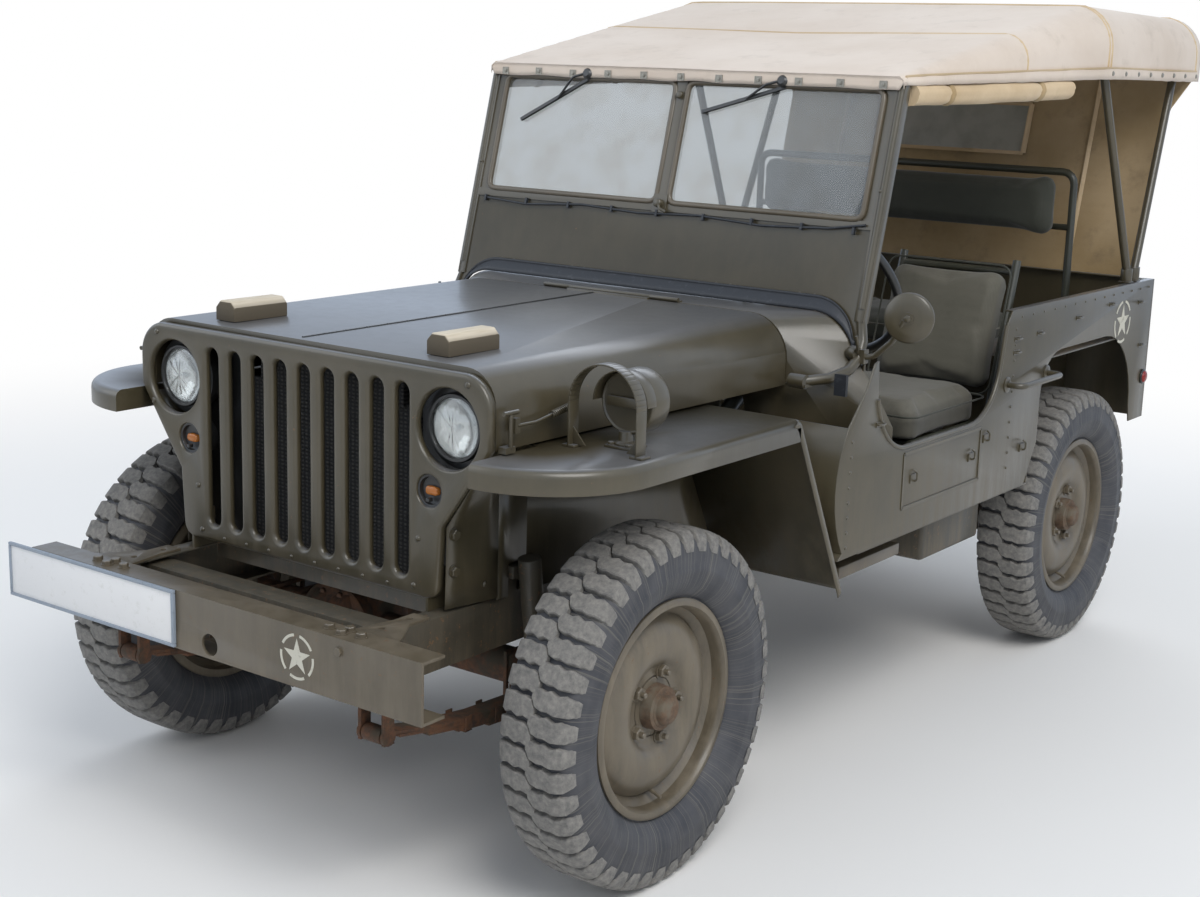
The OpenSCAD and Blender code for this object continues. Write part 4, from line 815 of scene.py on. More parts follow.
LENS_R = 57.2
for s, hand in ((1, "left"), (-1, "right")):
    place = aimed((s * HEADLAMP[0], 0, HEADLAMP[1]), (0, -1, 0))
    bm = bmesh.new()
    # bucket, set deep behind the grille, and the retaining ring
    turned(bm, [(58, -GRILLE_Y - 36), (80, -GRILLE_Y - 36), (80, -GRILLE_Y - 44), (66, -GRILLE_Y - 80),
                (34, -GRILLE_Y - 118),
                (0, -GRILLE_Y - 124)], place, 64)
    turned(bm, [(66, -GRILLE_Y - 25), (65, -GRILLE_Y - 34), (57, -GRILLE_Y - 34), (57, -GRILLE_Y - 24),
                (59, -GRILLE_Y - 20), (63.5, -GRILLE_Y - 20)], place, 64, True)
    piece(hand + "_headlamp_bucket", bm, "chassis", black_enamel, ["headlamps"] if s > 0 else ())
    bm = bmesh.new()
    turned(bm, [(57, -GRILLE_Y - 28), (50, -GRILLE_Y - 36), (34, -GRILLE_Y - 46), (14, -GRILLE_Y - 54),
                (0, -GRILLE_Y - 55)],
           place, 64)
    turned(bm, [(0, -GRILLE_Y - 20), (7, -GRILLE_Y - 22), (8, -GRILLE_Y - 30), (5, -GRILLE_Y - 42),
                (0, -GRILLE_Y - 50)],
           place, 24)
    piece(hand + "_reflector", bm, "chassis", mirror_metal)
    # the lens is a shallow dome with pressed upright ribs
    bm = bmesh.new()
    rings = []
    for r in (LENS_R, 55, 51, 46, 40, 32, 24, 16, 8, 1):
        ring = []
        for i in range(72):
            a = math.tau * i / 72
            x, z = r * math.cos(a), r * math.sin(a)
            rib = 0.8 * math.cos(x * math.tau / 9) if r < 54 else 0
            dome = 13 * (1 - (r / LENS_R) ** 2)
            ring.append((s * HEADLAMP[0] + x, GRILLE_Y + 27 - dome - rib, HEADLAMP[1] + z))
        rings.append(ring)
    kept_rings = rings[:1] + rings[3:4] + rings[6:7] + rings[-1:]
    back = [[(p[0], p[1] + 4, p[2]) for p in ring] for ring in reversed(kept_rings)]
    lofted(bm, rings + back, True, False)
    piece(hand + "_headlamp_lens", bm, "chassis", lens_glass, smooth=60)

bm = bmesh.new()
for s in (-1, 1):
    place = aimed((s * MARKER[0], 0, MARKER[1]), (0, -1, 0))
    turned(bm, [(35.5, -GRILLE_Y - 4.5), (35.5, -GRILLE_Y - 49), (0, -GRILLE_Y - 49)], place, 40)
    turned(bm, [(35.5, -GRILLE_Y - 4.5), (27, -GRILLE_Y - 5), (26, -GRILLE_Y - 14), (0, -GRILLE_Y - 14)],
           place, 40)
    place = aimed((s * 610, 0, 735), (0, 1, 0))
    turned(bm, [(0, 2450), (38, 2450), (38, 2488), (35, 2493), (30, 2493), (30, 2488), (0, 2488)], place, 40)
    turned(bm, [(0, 710.3), (22, 710.3), (22, 714), (20, 716), (17.5, 716)],
           aimed((0, 2421, 720), (s, 0, 0)), 36)
    # bracket of the bar lamp
    box(bm, (s * MARKER[0] - 4, GRILLE_Y - 3, 776), (s * MARKER[0] + 4, GRILLE_Y + 8, 783))
piece("lamp_housings", bm, "chassis", black_enamel, ["marker_lamps"], edge=0.8)
bm = bmesh.new()
for s in (-1, 1):
    rings = []
    for z, half, deep in ((786, 1, 1), (788, 9, 7), (792, 11, 9), (799, 11, 9), (803, 9, 7), (805, 1, 1)):
        rings.append([(s * MARKER[0] + px * 1.7, GRILLE_Y + 12 + py, z) for px, py in
                      [(half, deep * 0.4), (half * 0.7, -deep * 0.6), (-half * 0.7, -deep * 0.6),
                       (-half, deep * 0.4)]])
    lofted(bm, rings, True, True)
piece("amber_marker_lenses", bm, "chassis", amber_lens, edge=1.5, smooth=60)
bm = bmesh.new()
for s in (-1, 1):
    turned(bm, [(29.5, 2488), (29, 2494), (22, 2498), (0, 2499.5)], aimed((s * 610, 0, 735), (0, 1, 0)), 40)
    turned(bm, [(17.5, 714), (17, 719), (12, 721.6), (0, 722.3)], aimed((0, 2421, 720), (s, 0, 0)), 36)
piece("red_lenses", bm, "chassis", red_lens, smooth=60)

# blackout driving lamp: a round can with a half hood over its slit, behind a strap hoop
LAMP = (612, -70, FENDER_Z + 85)
bm = bmesh.new()
can = aimed(LAMP, (0, -1, 0))
turned(bm, [(0, -85), (24, -84), (36, -74), (40, -60), (60, -56), (62, -50), (62, -6), (60, -2), (57, 0),
            (54, -3), (0, -4)],
       can, 48)
hood_arc = arc(0, 0, 64, 0, 180, 20)
inner_arc = arc(0, 0, 61, 180, 0, 20)
for_z = [(LAMP[0] + x, LAMP[2] + z) for x, z in hood_arc + inner_arc]
lofted(bm, [[(x, LAMP[1] - y, z) for x, z in for_z] for y in (-6, 22)], True, True)
box(bm, (LAMP[0] - 40, LAMP[1] - 8, LAMP[2] - 8), (LAMP[0] + 40, LAMP[1] - 2, LAMP[2] + 10))
turned(bm, [(0, 0), (22, 0), (22, 4), (14, 8), (14, 26), (0, 26)],
       Matrix.Translation((LAMP[0], LAMP[1], FENDER_Z + 5)), 24)
box(bm, (LAMP[0] - 30, LAMP[1] - 28, FENDER_Z + 0.3), (LAMP[0] + 30, LAMP[1] + 28, FENDER_Z + 5))
for x in (-20, 20):
    hexagon(bm, (LAMP[0] + x, LAMP[1] - 18, FENDER_Z + 5), (0, 0, 1), 13, 6)
# strap hoop with its feet and stiffening gussets
HOOP_R = 78
HOOP_RISE = 85
HOOP_Y = LAMP[1] - 62
hoop = [(-HOOP_R, 0), (-HOOP_R, HOOP_RISE)] + [(x, HOOP_RISE + z) for x,
                                               z in arc(0, 0, HOOP_R, 180, 0, 24)] + [(HOOP_R, 0)]
for a, b in zip(hoop, hoop[1:]):
    out = Vector((b[1] - a[1], 0, a[0] - b[0])).normalized() * 1.6
    ring = []
    for p, sign in ((a, 1), (b, 1), (b, -1), (a, -1)):
        ring.append(Vector((LAMP[0] + p[0], 0, FENDER_Z + 2 + p[1])) + out * -sign)
    lofted(bm, [[(v.x, HOOP_Y + y, v.z) for v in ring] for y in (-15, 15)], True, True)
for s in (-1, 1):
    box(bm, (LAMP[0] + s * HOOP_R - 14, HOOP_Y - 15, FENDER_Z + 0.3),
        (LAMP[0] + s * HOOP_R + 14, HOOP_Y + 15, FENDER_Z + 5))
    slab(bm, [(0, 0), (-30, 0), (0, 34)] if s > 0 else [(0, 0), (30, 0), (0, 34)], -1.5, 1.5,
         Matrix.Translation((LAMP[0] + s * 77, LAMP[1] - 62,
                             FENDER_Z + 5)) @ Matrix.Rotation(math.radians(90), 4, "X"))
piece("blackout_lamp_and_guard", bm, "chassis", olive, ["blackout_lamp"], edge=0.8, smooth=40)


# ---- front fenders ----

def fender_edge(inset):
    """The fender top's outline from the grille round to the tail, set in from its edge."""
    return [(488, -175), (488, -376 + inset)] + arc(492, -146, 230 - inset, -90, 0,
                                                    20)[1:] + [(FENDER_X - inset, 392)]


bm = bmesh.new()
ROLL = 16
turns = (0, 0.3, 0.6, 0.9, 1.2, math.pi / 2)
rows = []
for t in turns:
    outline = fender_edge(ROLL * (1 - math.sin(t)))
    rows.append([(x, y, FENDER_Z - ROLL * (1 - math.cos(t))) for x, y in outline])
rows.append([(x, y, FENDER_Z - 46) for x, y in fender_edge(0)])
rows.append([(x, y, FENDER_Z - 46) for x, y in fender_edge(3)])
made = lofted(bm, rows, False)
rest = [bm.verts.new(p) for p in ((APRON_X, 392, FENDER_Z), (APRON_X, -175, FENDER_Z))]
bm.faces.new(made[0] + rest)
# slanting tail: from the fender top down to the step, its outer edge rolled over
slope = [(392, FENDER_Z), (400, FENDER_Z - 3), (408, FENDER_Z - 16)]
slope = [(y, z) for y, z in arc(388, FENDER_Z - 22, 22, 90, 28, 6)] + [(614, 478), (616, 470)]
rows = []
for y, z in slope:
    row = [(APRON_X, y, z), (FENDER_X - ROLL, y, z)]
    for t in turns[1:]:
        back = ROLL * (1 - math.cos(t))
        row.append((FENDER_X - ROLL * (1 - math.sin(t)), y - back * 0.88, z - back * 0.47))
    row.append((FENDER_X, y - 24, z - 13))
    rows.append(row)
lofted(bm, rows, False)
# inner splash apron with a flange on the rail, open round the shock bracket
for part in ([(-170, 562), (-137, 562), (-137, 627), (-137, 884), (-170, 884)],
             [(-137, 627), (-83, 627), (-83, 884), (-137, 884)],
             [(-83, 562), (470, 562), (520, 470), (613, 470), (404, 884), (-83, 884)]):
    bm.faces.new([bm.verts.new((APRON_X + 2, y, z)) for y, z in part])
for y0, y1 in ((-150, -137), (-83, 240)):
    bm.faces.new([bm.verts.new(p) for p in ((336, y0, 563), (APRON_X + 2, y0, 563), (APRON_X + 2, y1, 563),
                                            (336, y1, 563))])
both_sides(bm)
fender = piece("pressed_fenders", bm, "chassis", olive, ["fenders"], smooth=50)
thickened(fender, "sheet_thickness", 2.5, -1)


# ---- hood ----

def hood_z(y):
    """Height of the hood's top at y."""
    return 1038 + 7 * (y + 289) / 979


BLOCK_Y = (-244, -97)
block_z = hood_z(BLOCK_Y[1]) + 0.3
bm = bmesh.new()
for s in (-1, 1):
    x0, x1 = s * 295 - 28, s * 295 + 28
    ends = ((BLOCK_Y[0], 3), (BLOCK_Y[0] + 3, 0), (BLOCK_Y[1] - 3, 0), (BLOCK_Y[1], 3))
    rings = []
    for y, drop in ends:
        top = block_z + 42 - drop
        rings.append([(x0, y, block_z), (x1, y, block_z), (x1, y, top - 13), (x1 - 12, y, top),
                      (x0 + 12, y, top),
                      (x0, y, top - 13)])
    lofted(bm, rings, True, True)
piece("windshield_rest_blocks", bm, "hood", ash_wood, ["hood_blocks"], edge=1.2, smooth=30)

bm = bmesh.new()
# long hinge let into the hood's top, left of the middle
for y0 in range(-270, 660, 60):
    swept(bm, [(-40, y0, hood_z(y0) + 0.6), (-40, y0 + 57, hood_z(y0 + 57) + 0.6)], 2.2, 8)
piece("hood_stiffener_hinge", bm, "hood", black_enamel)

bm = bmesh.new()
# side latch: a spring rod with its hook on the fender side and a T-handled toggle
LATCH_Y = -210
swept(bm, rounded([(497, LATCH_Y - 40, 936), (500, LATCH_Y + 10, 936), (500, LATCH_Y + 60, 944)], 20), 3.2, 8)
coiled(bm, (500, LATCH_Y + 55, 943), (500, LATCH_Y + 112, 952), 6, 11, 1.8)
swept(bm, rounded([(500, LATCH_Y + 108, 951), (502, LATCH_Y + 130, 955), (498, LATCH_Y + 136, 948)], 6), 2.6,
      8)
box(bm, (487, LATCH_Y - 48, 922), (499, LATCH_Y - 34, 950))
swept(bm, [(500, LATCH_Y - 62, 898), (503, LATCH_Y - 66, 962)], 4.2, 10)
swept(bm, [(503, LATCH_Y - 86, 964), (503, LATCH_Y - 46, 964)], 4.5, 10)
box(bm, (484, LATCH_Y - 78, 888), (502, LATCH_Y - 50, 900))
both_sides(bm)
piece("hood_side_latches", bm, "chassis", olive, smooth=50)

# ---- cowl ----

on_windshield = Matrix.Translation((0, WS_Y, WS_Z)) @ Matrix.Rotation(-WS_RAKE, 4, "X")


def ws(x, y, z):
    """A point of the raked windshield: across, back from its face, up."""
    return on_windshield @ Vector((x, y, z))
ws_forward = on_windshield.to_3x3() @ Vector((0, -1, 0))


def over_cowl(r, x, z, start, y, off):
    """A line over the cowl's round shoulders, at radius r round a centre, from side to side."""
    half = [(px, y, pz + off) for px, pz in arc(x, z, r, start, 90, 12)]
    return half + [(-px, y, pz) for px, y, pz in reversed(half)]


bm = bmesh.new()
# catches of the folded windshield, and the rubber strip that seals the frame's foot
for s in (-1, 1):
    box(bm, (s * 640 - 14, 694, 884), (s * 640 + 14, 702, 930))
seal_lines = [over_cowl(111, 490, 935, 18, 822, 0.5), over_cowl(116, 488, 938, 17, 829, 2)]
for back, rise in ((1.5, 4), (-1.5, 10)):
    seal_lines.append([ws(x, back, z + rise) for x, y, z in over_cowl(118, 478, -82, 15, 0, 4)])
lofted(bm, seal_lines, False)
seal = piece("windshield_foot_seal", bm, "chassis", seal_rubber, smooth=60)
thickened(seal, "rubber_thickness", 3, 0)

bm = bmesh.new()
# small white touch-up mark on the cowl
slab(bm, [(0, 0), (12, -2), (34, 3), (40, 9), (20, 11), (4, 8)], 0, 0.5,
     Matrix.Translation((430, 745, 1044)) @ Matrix.Rotation(0.35, 4, "Y"))
piece("cowl_paint_mark", bm, "chassis", stencil_white)


# ---- windshield ----

PANE = (18, 560, 232, 534)
bm = bmesh.new()
for s in (-1, 1):
    x0, x1 = sorted((s * (PANE[0] + 0.3), s * (PANE[1] - 0.3)))
    box(bm, (x0, 8, PANE[2] + 0.3), (x1, 12, PANE[3] - 0.3), on_windshield)
piece("window_panes", bm, "chassis", pane_glass, ["windshield_glass"])

bm = bmesh.new()
for s in (-1, 1):
    # inner frame of each pane, standing proud of the panel
    x0, x1, z0, z1 = PANE
    loop = [(s * x0, z0), (s * x1, z0), (s * x1, z1), (s * x0, z1)]
    path = []
    for i in range(4):
        a, b, c = Vector(loop[i - 1]), Vector(loop[i]), Vector(loop[(i + 1) % 4])
        u, v = (a - b).normalized(), (c - b).normalized()
        for t in (0, 0.25, 0.5, 0.75, 1):
            p = (b + u * 24) * (1 - t) ** 2 + b * 2 * t * (1 - t) + (b + v * 24) * t * t
            path.append(ws(p.x, 3, p.y))
    swept(bm, path, 7.5, 10, 1.0, True)
piece("pane_frames", bm, "chassis", road_olive, smooth=60)

bm = bmesh.new()
for s in (-1, 1):
    # the outer tube of the frame, with rivet pairs along the panel's foot
    swept(bm, [ws(s * 601, 4, 30), ws(s * 601, 4, 540)], 9, 12)
    for x in (472, 432, 240, 200):
        rivet(bm, ws(s * x, 4, 48), ws_forward, 5)
    rivet(bm, ws(s * 596, -4, 300), ws_forward, 4)
    # wing clamp on the foot tube and the second catch behind it
    at = Vector((s * 606, 812, 962))
    turned(bm, [(0, -12), (15, -12), (17, -8), (17, 8), (15, 12), (0, 12)], aimed(at, (s, -0.3, 0)), 24)
    swept(bm, rounded([at + Vector((s * 14, -8, 4)), at + Vector((s * 22, -26, 26)),
                       at + Vector((s * 20, -30, 44))], 8), 4, 8)
    swept(bm, rounded([at + Vector((s * 14, 0, -4)), at + Vector((s * 20, 14, -24)),
                       at + Vector((s * 18, 16, -40))], 8), 4, 8)
    box(bm, (s * 545 - 26, 660, 896), (s * 545 + 26, 690, 902))
    turned(bm, [(0, -20), (16, -20), (16, 20), (0, 20)], aimed((s * 548, 668, 908), (1, 0, 0)), 24)
hexagon(bm, ws(0, 0, 500), ws_forward, 17, 9)
box(bm, (-20, -6, 206), (20, 1, 252), on_windshield)
turned(bm, [(0, 0), (11, 0), (11, 14), (8, 17), (0, 17)], aimed(ws(0, -4, 228), ws_forward), 20)
swept(bm, rounded([ws(0, -16, 228), ws(14, -20, 212), ws(30, -18, 206)], 8), 3.5, 8)
piece("windshield_fittings", bm, "chassis", olive, smooth=50)

WIPER_X = 290
ARM_REACH = 200
bm = bmesh.new()
for s in (-1, 1):
    # wiper: motor spindle, arm and blade lying against its pane
    turned(bm, [(0, 0), (15, 0), (15, 12), (9, 18), (0, 18)], aimed(ws(s * WIPER_X, 0, 543), ws_forward), 20)
    slope = 0.30 if s > 0 else 0.52
    middle_x = (s * WIPER_X + s * WIPER_X - ARM_REACH * math.cos(slope)) / 2
    drop = ARM_REACH / 2 * math.sin(slope)
    arm = [ws(s * WIPER_X, -14, 543), ws(s * WIPER_X - 40, -16, 531), ws(middle_x, -3, 528 - drop)]
    swept(bm, rounded(arm, 20), 3.2, 8)
    blade = Matrix.Translation(ws(middle_x - 10, 1, 526 - drop)) @ on_windshield.to_3x3().to_4x4()
    box(bm, (-118, -4, -4), (118, 4, 4), blade @ Matrix.Rotation(-slope, 4, "Y"))
piece("wipers", bm, "chassis", black_enamel, smooth=40)

bm = bmesh.new()
cable = [ws(-560, -3, 205), ws(-420, -4, 196), ws(-240, -4, 208), ws(-60, -4, 200), ws(120, -4, 207),
         ws(300, -4, 197),
         ws(480, -4, 205), ws(575, -3, 220)]
swept(bm, rounded(cable, 120), 3, 8)
for i in range(9):
    box(bm, (-560 + i * 138, -8, 196), (-554 + i * 138, 0, 212), on_windshield)
piece("wiper_cable_and_clips", bm, "chassis", seal_rubber, smooth=60)

bm = bmesh.new()
MIRROR = Vector((738, 812, 1056))
mirror_way = Matrix.Rotation(math.radians(12), 3, "Z") @ Vector((0, -1, 0))
place = aimed(MIRROR, mirror_way)
turned(bm, [(0, -8), (52, -8), (57, -5), (57, 1), (52, 6), (30, 8.5), (14, 9.5), (14, 12), (0, 12)], place,
       56)
hexagon(bm, MIRROR + mirror_way * 11, mirror_way, 14, 5)
swept(bm, rounded([(628, 817, 955), (652, 823, 958), (700, 815, 1000), MIRROR - Vector((6, 10, 4))], 40),
      6.8, 12)
box(bm, (610, 808, 940), (634, 830, 972))
piece("round_mirror", bm, "chassis", olive, ["rear_view_mirror"], smooth=45)
bm = bmesh.new()
turned(bm, [(0, 8.2), (51, 8.2), (51, 7), (0, 7)], aimed(MIRROR, -mirror_way), 56)
piece("mirror_glass", bm, "chassis", mirror_metal)


# ---- canvas ----

def lookup(x, table):
    """A value read off a table of steps, in a straight line between them."""
    if x <= table[0][0]:
        return table[0][1]
    for (x0, v0), (x1, v1) in zip(table, table[1:]):
        if x <= x1:
            return v0 + (v1 - v0) * (x - x0) / (x1 - x0)
    return table[-1][1]


ROOF_FRONT_Y = 962
MAIN_BOW_Y = 1930
ROOF_REAR_Y = 2650
CROWN_SAG = 9
FRONT_Z = WS_Z + WS_H * math.cos(WS_RAKE) + 3.2
# each across or up, at the front rail, the main bow and the rear edge
ROOF_Y = (ROOF_FRONT_Y, MAIN_BOW_Y, ROOF_REAR_Y)
STATIONS = {"half": list(zip(ROOF_Y, (614, 715, 715))),
            "crown": list(zip(ROOF_Y, (FRONT_Z, 1775, 1767))),
            "hem": list(zip(ROOF_Y, (FRONT_Z - 20, 1585, 1585))),
            "shoulder": list(zip(ROOF_Y, (16, 110, 110)))}


def roof_line(y, count):
    """Points from the left hem over the crown to the right hem, evenly spaced."""
    half, crown = lookup(y, STATIONS["half"]), lookup(y, STATIONS["crown"])
    hem, r = lookup(y, STATIONS["hem"]), lookup(y, STATIONS["shoulder"])
    right = [(half, hem)] + arc(half - r, crown - r, r, 0, 80, 10) + [(half * 0.5, crown - 0.3), (0, crown)]
    line = [Vector((x, z)) for x, z in right + [(-x, z) for x, z in reversed(right[:-1])]]
    lengths = [0]
    for a, b in zip(line, line[1:]):
        lengths.append(lengths[-1] + (b - a).length)
    even = []
    for i in range(count):
        want = lengths[-1] * i / (count - 1)
        k = max(j for j in range(len(lengths) - 1) if lengths[j] <= want + 1e-6)
        step = lengths[k + 1] - lengths[k]
        even.append(line[k].lerp(line[k + 1], (want - lengths[k]) / step if step else 0))
    return even, lengths[-1]


def wave(*place):
    """Smooth noise from -1 to 1 at a place given in wave lengths."""
    return noise.noise(Vector(place))


def between_bows(y):
    """0 at the rail, the main bow and the rear edge, and 1 midway between them."""
    if y < MAIN_BOW_Y:
        return math.sin(math.pi * (y - ROOF_FRONT_Y) / (MAIN_BOW_Y - ROOF_FRONT_Y))
    return math.sin(math.pi * (y - MAIN_BOW_Y) / (ROOF_REAR_Y - MAIN_BOW_Y))


ACROSS = 97
roof_rows = []
roof_widths = []
roof_y = [ROOF_FRONT_Y + (ROOF_REAR_Y - ROOF_FRONT_Y) * i / 84 for i in range(85)]
for y in roof_y:
    line, width = roof_line(y, ACROSS)
    roof_widths.append(width)
    row = []
    for i, p in enumerate(line):
        t = i / (ACROSS - 1)
        crown = max(0, 1 - abs(2 * t - 1) * 1.25)
        edge = max(0, abs(2 * t - 1) - 0.86) / 0.14
        sag = CROWN_SAG * between_bows(y) * crown
        ripple = 1.6 * wave(p.x / 190, y / 420, 3) * (1 - edge)
        flap = edge * edge * (4 * wave(y / 130, 7, p.x / 900) - 1)
        inward = -1 if p.x > 0 else 1
        row.append((p.x + inward * (abs(flap) + 0.4), y,
                    p.y - sag - abs(ripple) - edge * 3 * abs(wave(y / 90, 1, 5))))
    roof_rows.append(row)
# the front hem hangs over the windshield frame in shallow waves
front = roof_rows[0]
hem_rows = []
for drop, lean in ((30, 0.5), (20, 0.6), (9, 1), (2.5, 2)):
    hem_rows.append([(x, ROOF_FRONT_Y + lean + 1.5 * (0.5 + 0.5 * wave(x / 70, 2, drop / 40)),
                      z - (drop + (3.5 * wave(x / 95, 9,
                                              1) if drop > 15 else 0)) * (0.25 if abs(x) > 606 else 1))
                     for x, y, z in front])
bm = bmesh.new()
lofted(bm, hem_rows + roof_rows, False)
canvas = piece("canvas_roof", bm, "chassis", roof_duck, ["canvas_top"], smooth=60)
thickened(canvas, "cloth_thickness", 2.2, 0)
if canvas.data.polygons[0].normal.z < 0:
    canvas.data.flip_normals()
roof_area = sum((a + b) / 2 * (roof_y[1] - roof_y[0]) for a, b in zip(roof_widths, roof_widths[1:])) / 1e6
roof_area += 30 * roof_widths[0] / 1e6


def rear_half(z):
    """Half width of the rear curtain at a height."""
    if z > 1600:
        line = roof_line(ROOF_REAR_Y, 61)[0]
        return max([p.x for p in line if p.y >= z - 2] + [60])
    return lookup(z, [(CURTAIN_FOOT_Z, 646), (1500, 655), (1600, 712)])


CURTAIN_FOOT_Z = 985
CURTAIN_TOP_Z = 1766
REAR_ROWS = 61
rear_rows = []
for i in range(REAR_ROWS):
    z = CURTAIN_FOOT_Z + (CURTAIN_TOP_Z - CURTAIN_FOOT_Z) * i / (REAR_ROWS - 1)
    y = lookup(z, [(CURTAIN_FOOT_Z, 2466), (1640, 2644), (1700, 2649), (CURTAIN_TOP_Z, 2649)])
    half = rear_half(z)
    row = []
    for k in range(61):
        t = k / 60 * 2 - 1
        slack = max(0, 1 - (z - CURTAIN_FOOT_Z) / 700) * (1 - t * t)
        fold = 5 * wave(t * 4, z / 260, 2) + 7 * wave(t * 2.5, z / 500, 8)
        row.append((half * t, y - 4 - abs(fold) * (0.35 + slack), z))
    rear_rows.append(row)
bm = bmesh.new()
lofted(bm, rear_rows, False)
# the rear curtain's tan cloth carries painted shade of the inside in its colour
rear = piece("rear_curtain", bm, "chassis", aged_and_shaded_duck, smooth=60)
thickened(rear, "cloth_thickness", 2, 0)


def rear_y(z):
    """Where the rear curtain hangs at a height, below its bend."""
    return lookup(z, [(CURTAIN_FOOT_Z, 2466), (1640, 2644)])


def on_rear(x, z, off):
    """A point near the rear curtain, off millimetres behind it."""
    return Vector((x, rear_y(z) + off, z))


WINDOW = (220, 1350, 1500)
bm = bmesh.new()
for side in (-16, 3.5):
    grid = []
    for i in range(9):
        z = WINDOW[1] + (WINDOW[2] - WINDOW[1]) * i / 8
        grid.append([on_rear(WINDOW[0] * (k / 8 - 1), z,
                             side + 1.2 * wave(k / 3, i / 3, 1)) for k in range(17)])
    lofted(bm, grid, False)
piece("rear_window_film", bm, "chassis", clouded_film, smooth=80)
bm = bmesh.new()
for side in (-17, 4.5):
    w, z0, z1 = WINDOW
    for a, b in (((-w, z0), (w, z0)), ((-w, z1), (w, z1)), ((-w, z0), (-w, z1)), ((w, z0), (w, z1))):
        swept(bm, [on_rear(a[0], a[1], side), on_rear(b[0], b[1], side)], 9, 8, 0.25)
for x in (-430, 430):
    swept(bm, [on_rear(x, 1000, -14), on_rear(x, 1630, -14)], 7, 8, 0.3)
piece("rear_window_binding", bm, "chassis", roll_duck, smooth=70)

bm = bmesh.new()
# doubled seams over the bows and along the edges, and the webbing that binds each hem
for y in (1500, 1922, 1938, 2610):
    line = roof_line(y, 61)[0]
    path = []
    for i, p in enumerate(line[1:-1]):
        crown = max(0, 1 - abs(2 * (i + 1) / 60 - 1) * 1.25)
        path.append((p.x, y, p.y - CROWN_SAG * between_bows(y) * crown + 1.0))
    swept(bm, path, 4, 6, 0.4)
for s in (-1, 1):
    edge_path = []
    for y in range(975, 2650, 25):
        line = roof_line(y, 61)[0]
        p = line[1] if s > 0 else line[-2]
        edge_path.append((p.x - s * 0.5, y, p.y))
    swept(bm, edge_path, 5, 6, 0.4)
piece("canvas_seams", bm, "chassis", roll_duck, smooth=70)

bm = bmesh.new()
# turn-button fasteners along the front hem and the rear part of the side hems
for i in range(11):
    x = -560 + 112 * i
    place = aimed((x, 961.5, FRONT_Z - 20 - 3 * wave(x / 95, 9, 1)), (0, -1, 0.05))
    box(bm, (-10, -9, -0.5), (10, 9, 1.2), place)
    turned(bm, [(0, 1), (4.5, 1), (4.5, 3), (0, 4)], place, 12)
for s in (-1, 1):
    for y in range(1960, 2640, 95):
        turned(bm, [(0, 0), (7, 0), (7, 1.5), (4, 4), (0, 4)], aimed((s * 714, y, 1600), (s, 0, 0)), 14)
piece("canvas_fasteners", bm, "chassis", zinc, smooth=40)

# side curtains rolled up under the hem: loose turns of cloth tied with tapes
bm = bmesh.new()
roll_a, roll_b = Vector((603.4, 1014, 1535)), Vector((679.2, 1740, 1555))
rings = []
for i in range(61):
    t = i / 60
    middle = roll_a.lerp(roll_b, t)
    tie = 1 - 0.16 * math.exp(-((t - 0.2) / 0.02) ** 2) - 0.16 * math.exp(-((t - 0.78) / 0.02) ** 2)
    ring = []
    for k in range(28):
        a = math.tau * k / 28
        r = 23.5 * tie * (1 + 0.07 * wave(math.cos(a) * 1.5, math.sin(a) * 1.5, t * 7))
        # the outer turn ends in a step that runs along the roll
        r *= 1.06 if 0.2 < a < 2.2 else 0.95
        ring.append(middle + Vector((r * math.cos(a), 0, r * 1.05 * math.sin(a) - 2 * math.sin(math.pi * t))))
    rings.append(ring)
lofted(bm, rings, True, True)
both_sides(bm)
roll = piece("rolled_side_curtains", bm, "chassis", roll_duck, ["curtain_roll"], smooth=60)
bm = bmesh.new()
for t in (0.2, 0.78):
    middle = roll_a.lerp(roll_b, t)
    ring = [middle + Vector((22.5 * math.cos(a), 0,
                             23.5 * math.sin(a))) for a in [math.tau * k / 28 for k in range(28)]]
    swept(bm, ring, 7, 6, 0.25, True)
both_sides(bm)
piece("curtain_tapes", bm, "chassis", aged_and_shaded_duck, smooth=60)


# ---- seats ----

def round_corners(w, d, r):
    """The outline of a rectangle, w across and d deep, with corners of radius r."""
    outline = []
    for cx, cy, a in ((w - r, r, -90), (w - r, d - r, 0), (r, d - r, 90), (r, r, 180)):
        outline += arc(cx, cy, r, a, a + 90, 6)
    return outline


def slab_form(size, t):
    """A padded slab's starting form, a little smaller than its space, with soft edges."""
    bm = bmesh.new()
    w, d = size
    outline = round_corners(w, d, 36)
    rings = []
    for z, inset in ((0, 8), (3, 2), (9, 0), (t - 12, 0), (t - 4, 4), (t, 12)):
        middle = Vector((w / 2, d / 2))
        ring = []
        for x, y in outline:
            p = Vector((x, y))
            p = middle + (p - middle) * (1 - inset / min(middle))
            ring.append((p.x, p.y, z))
        rings.append(ring)
    lofted(bm, rings, True, True)
    return bm


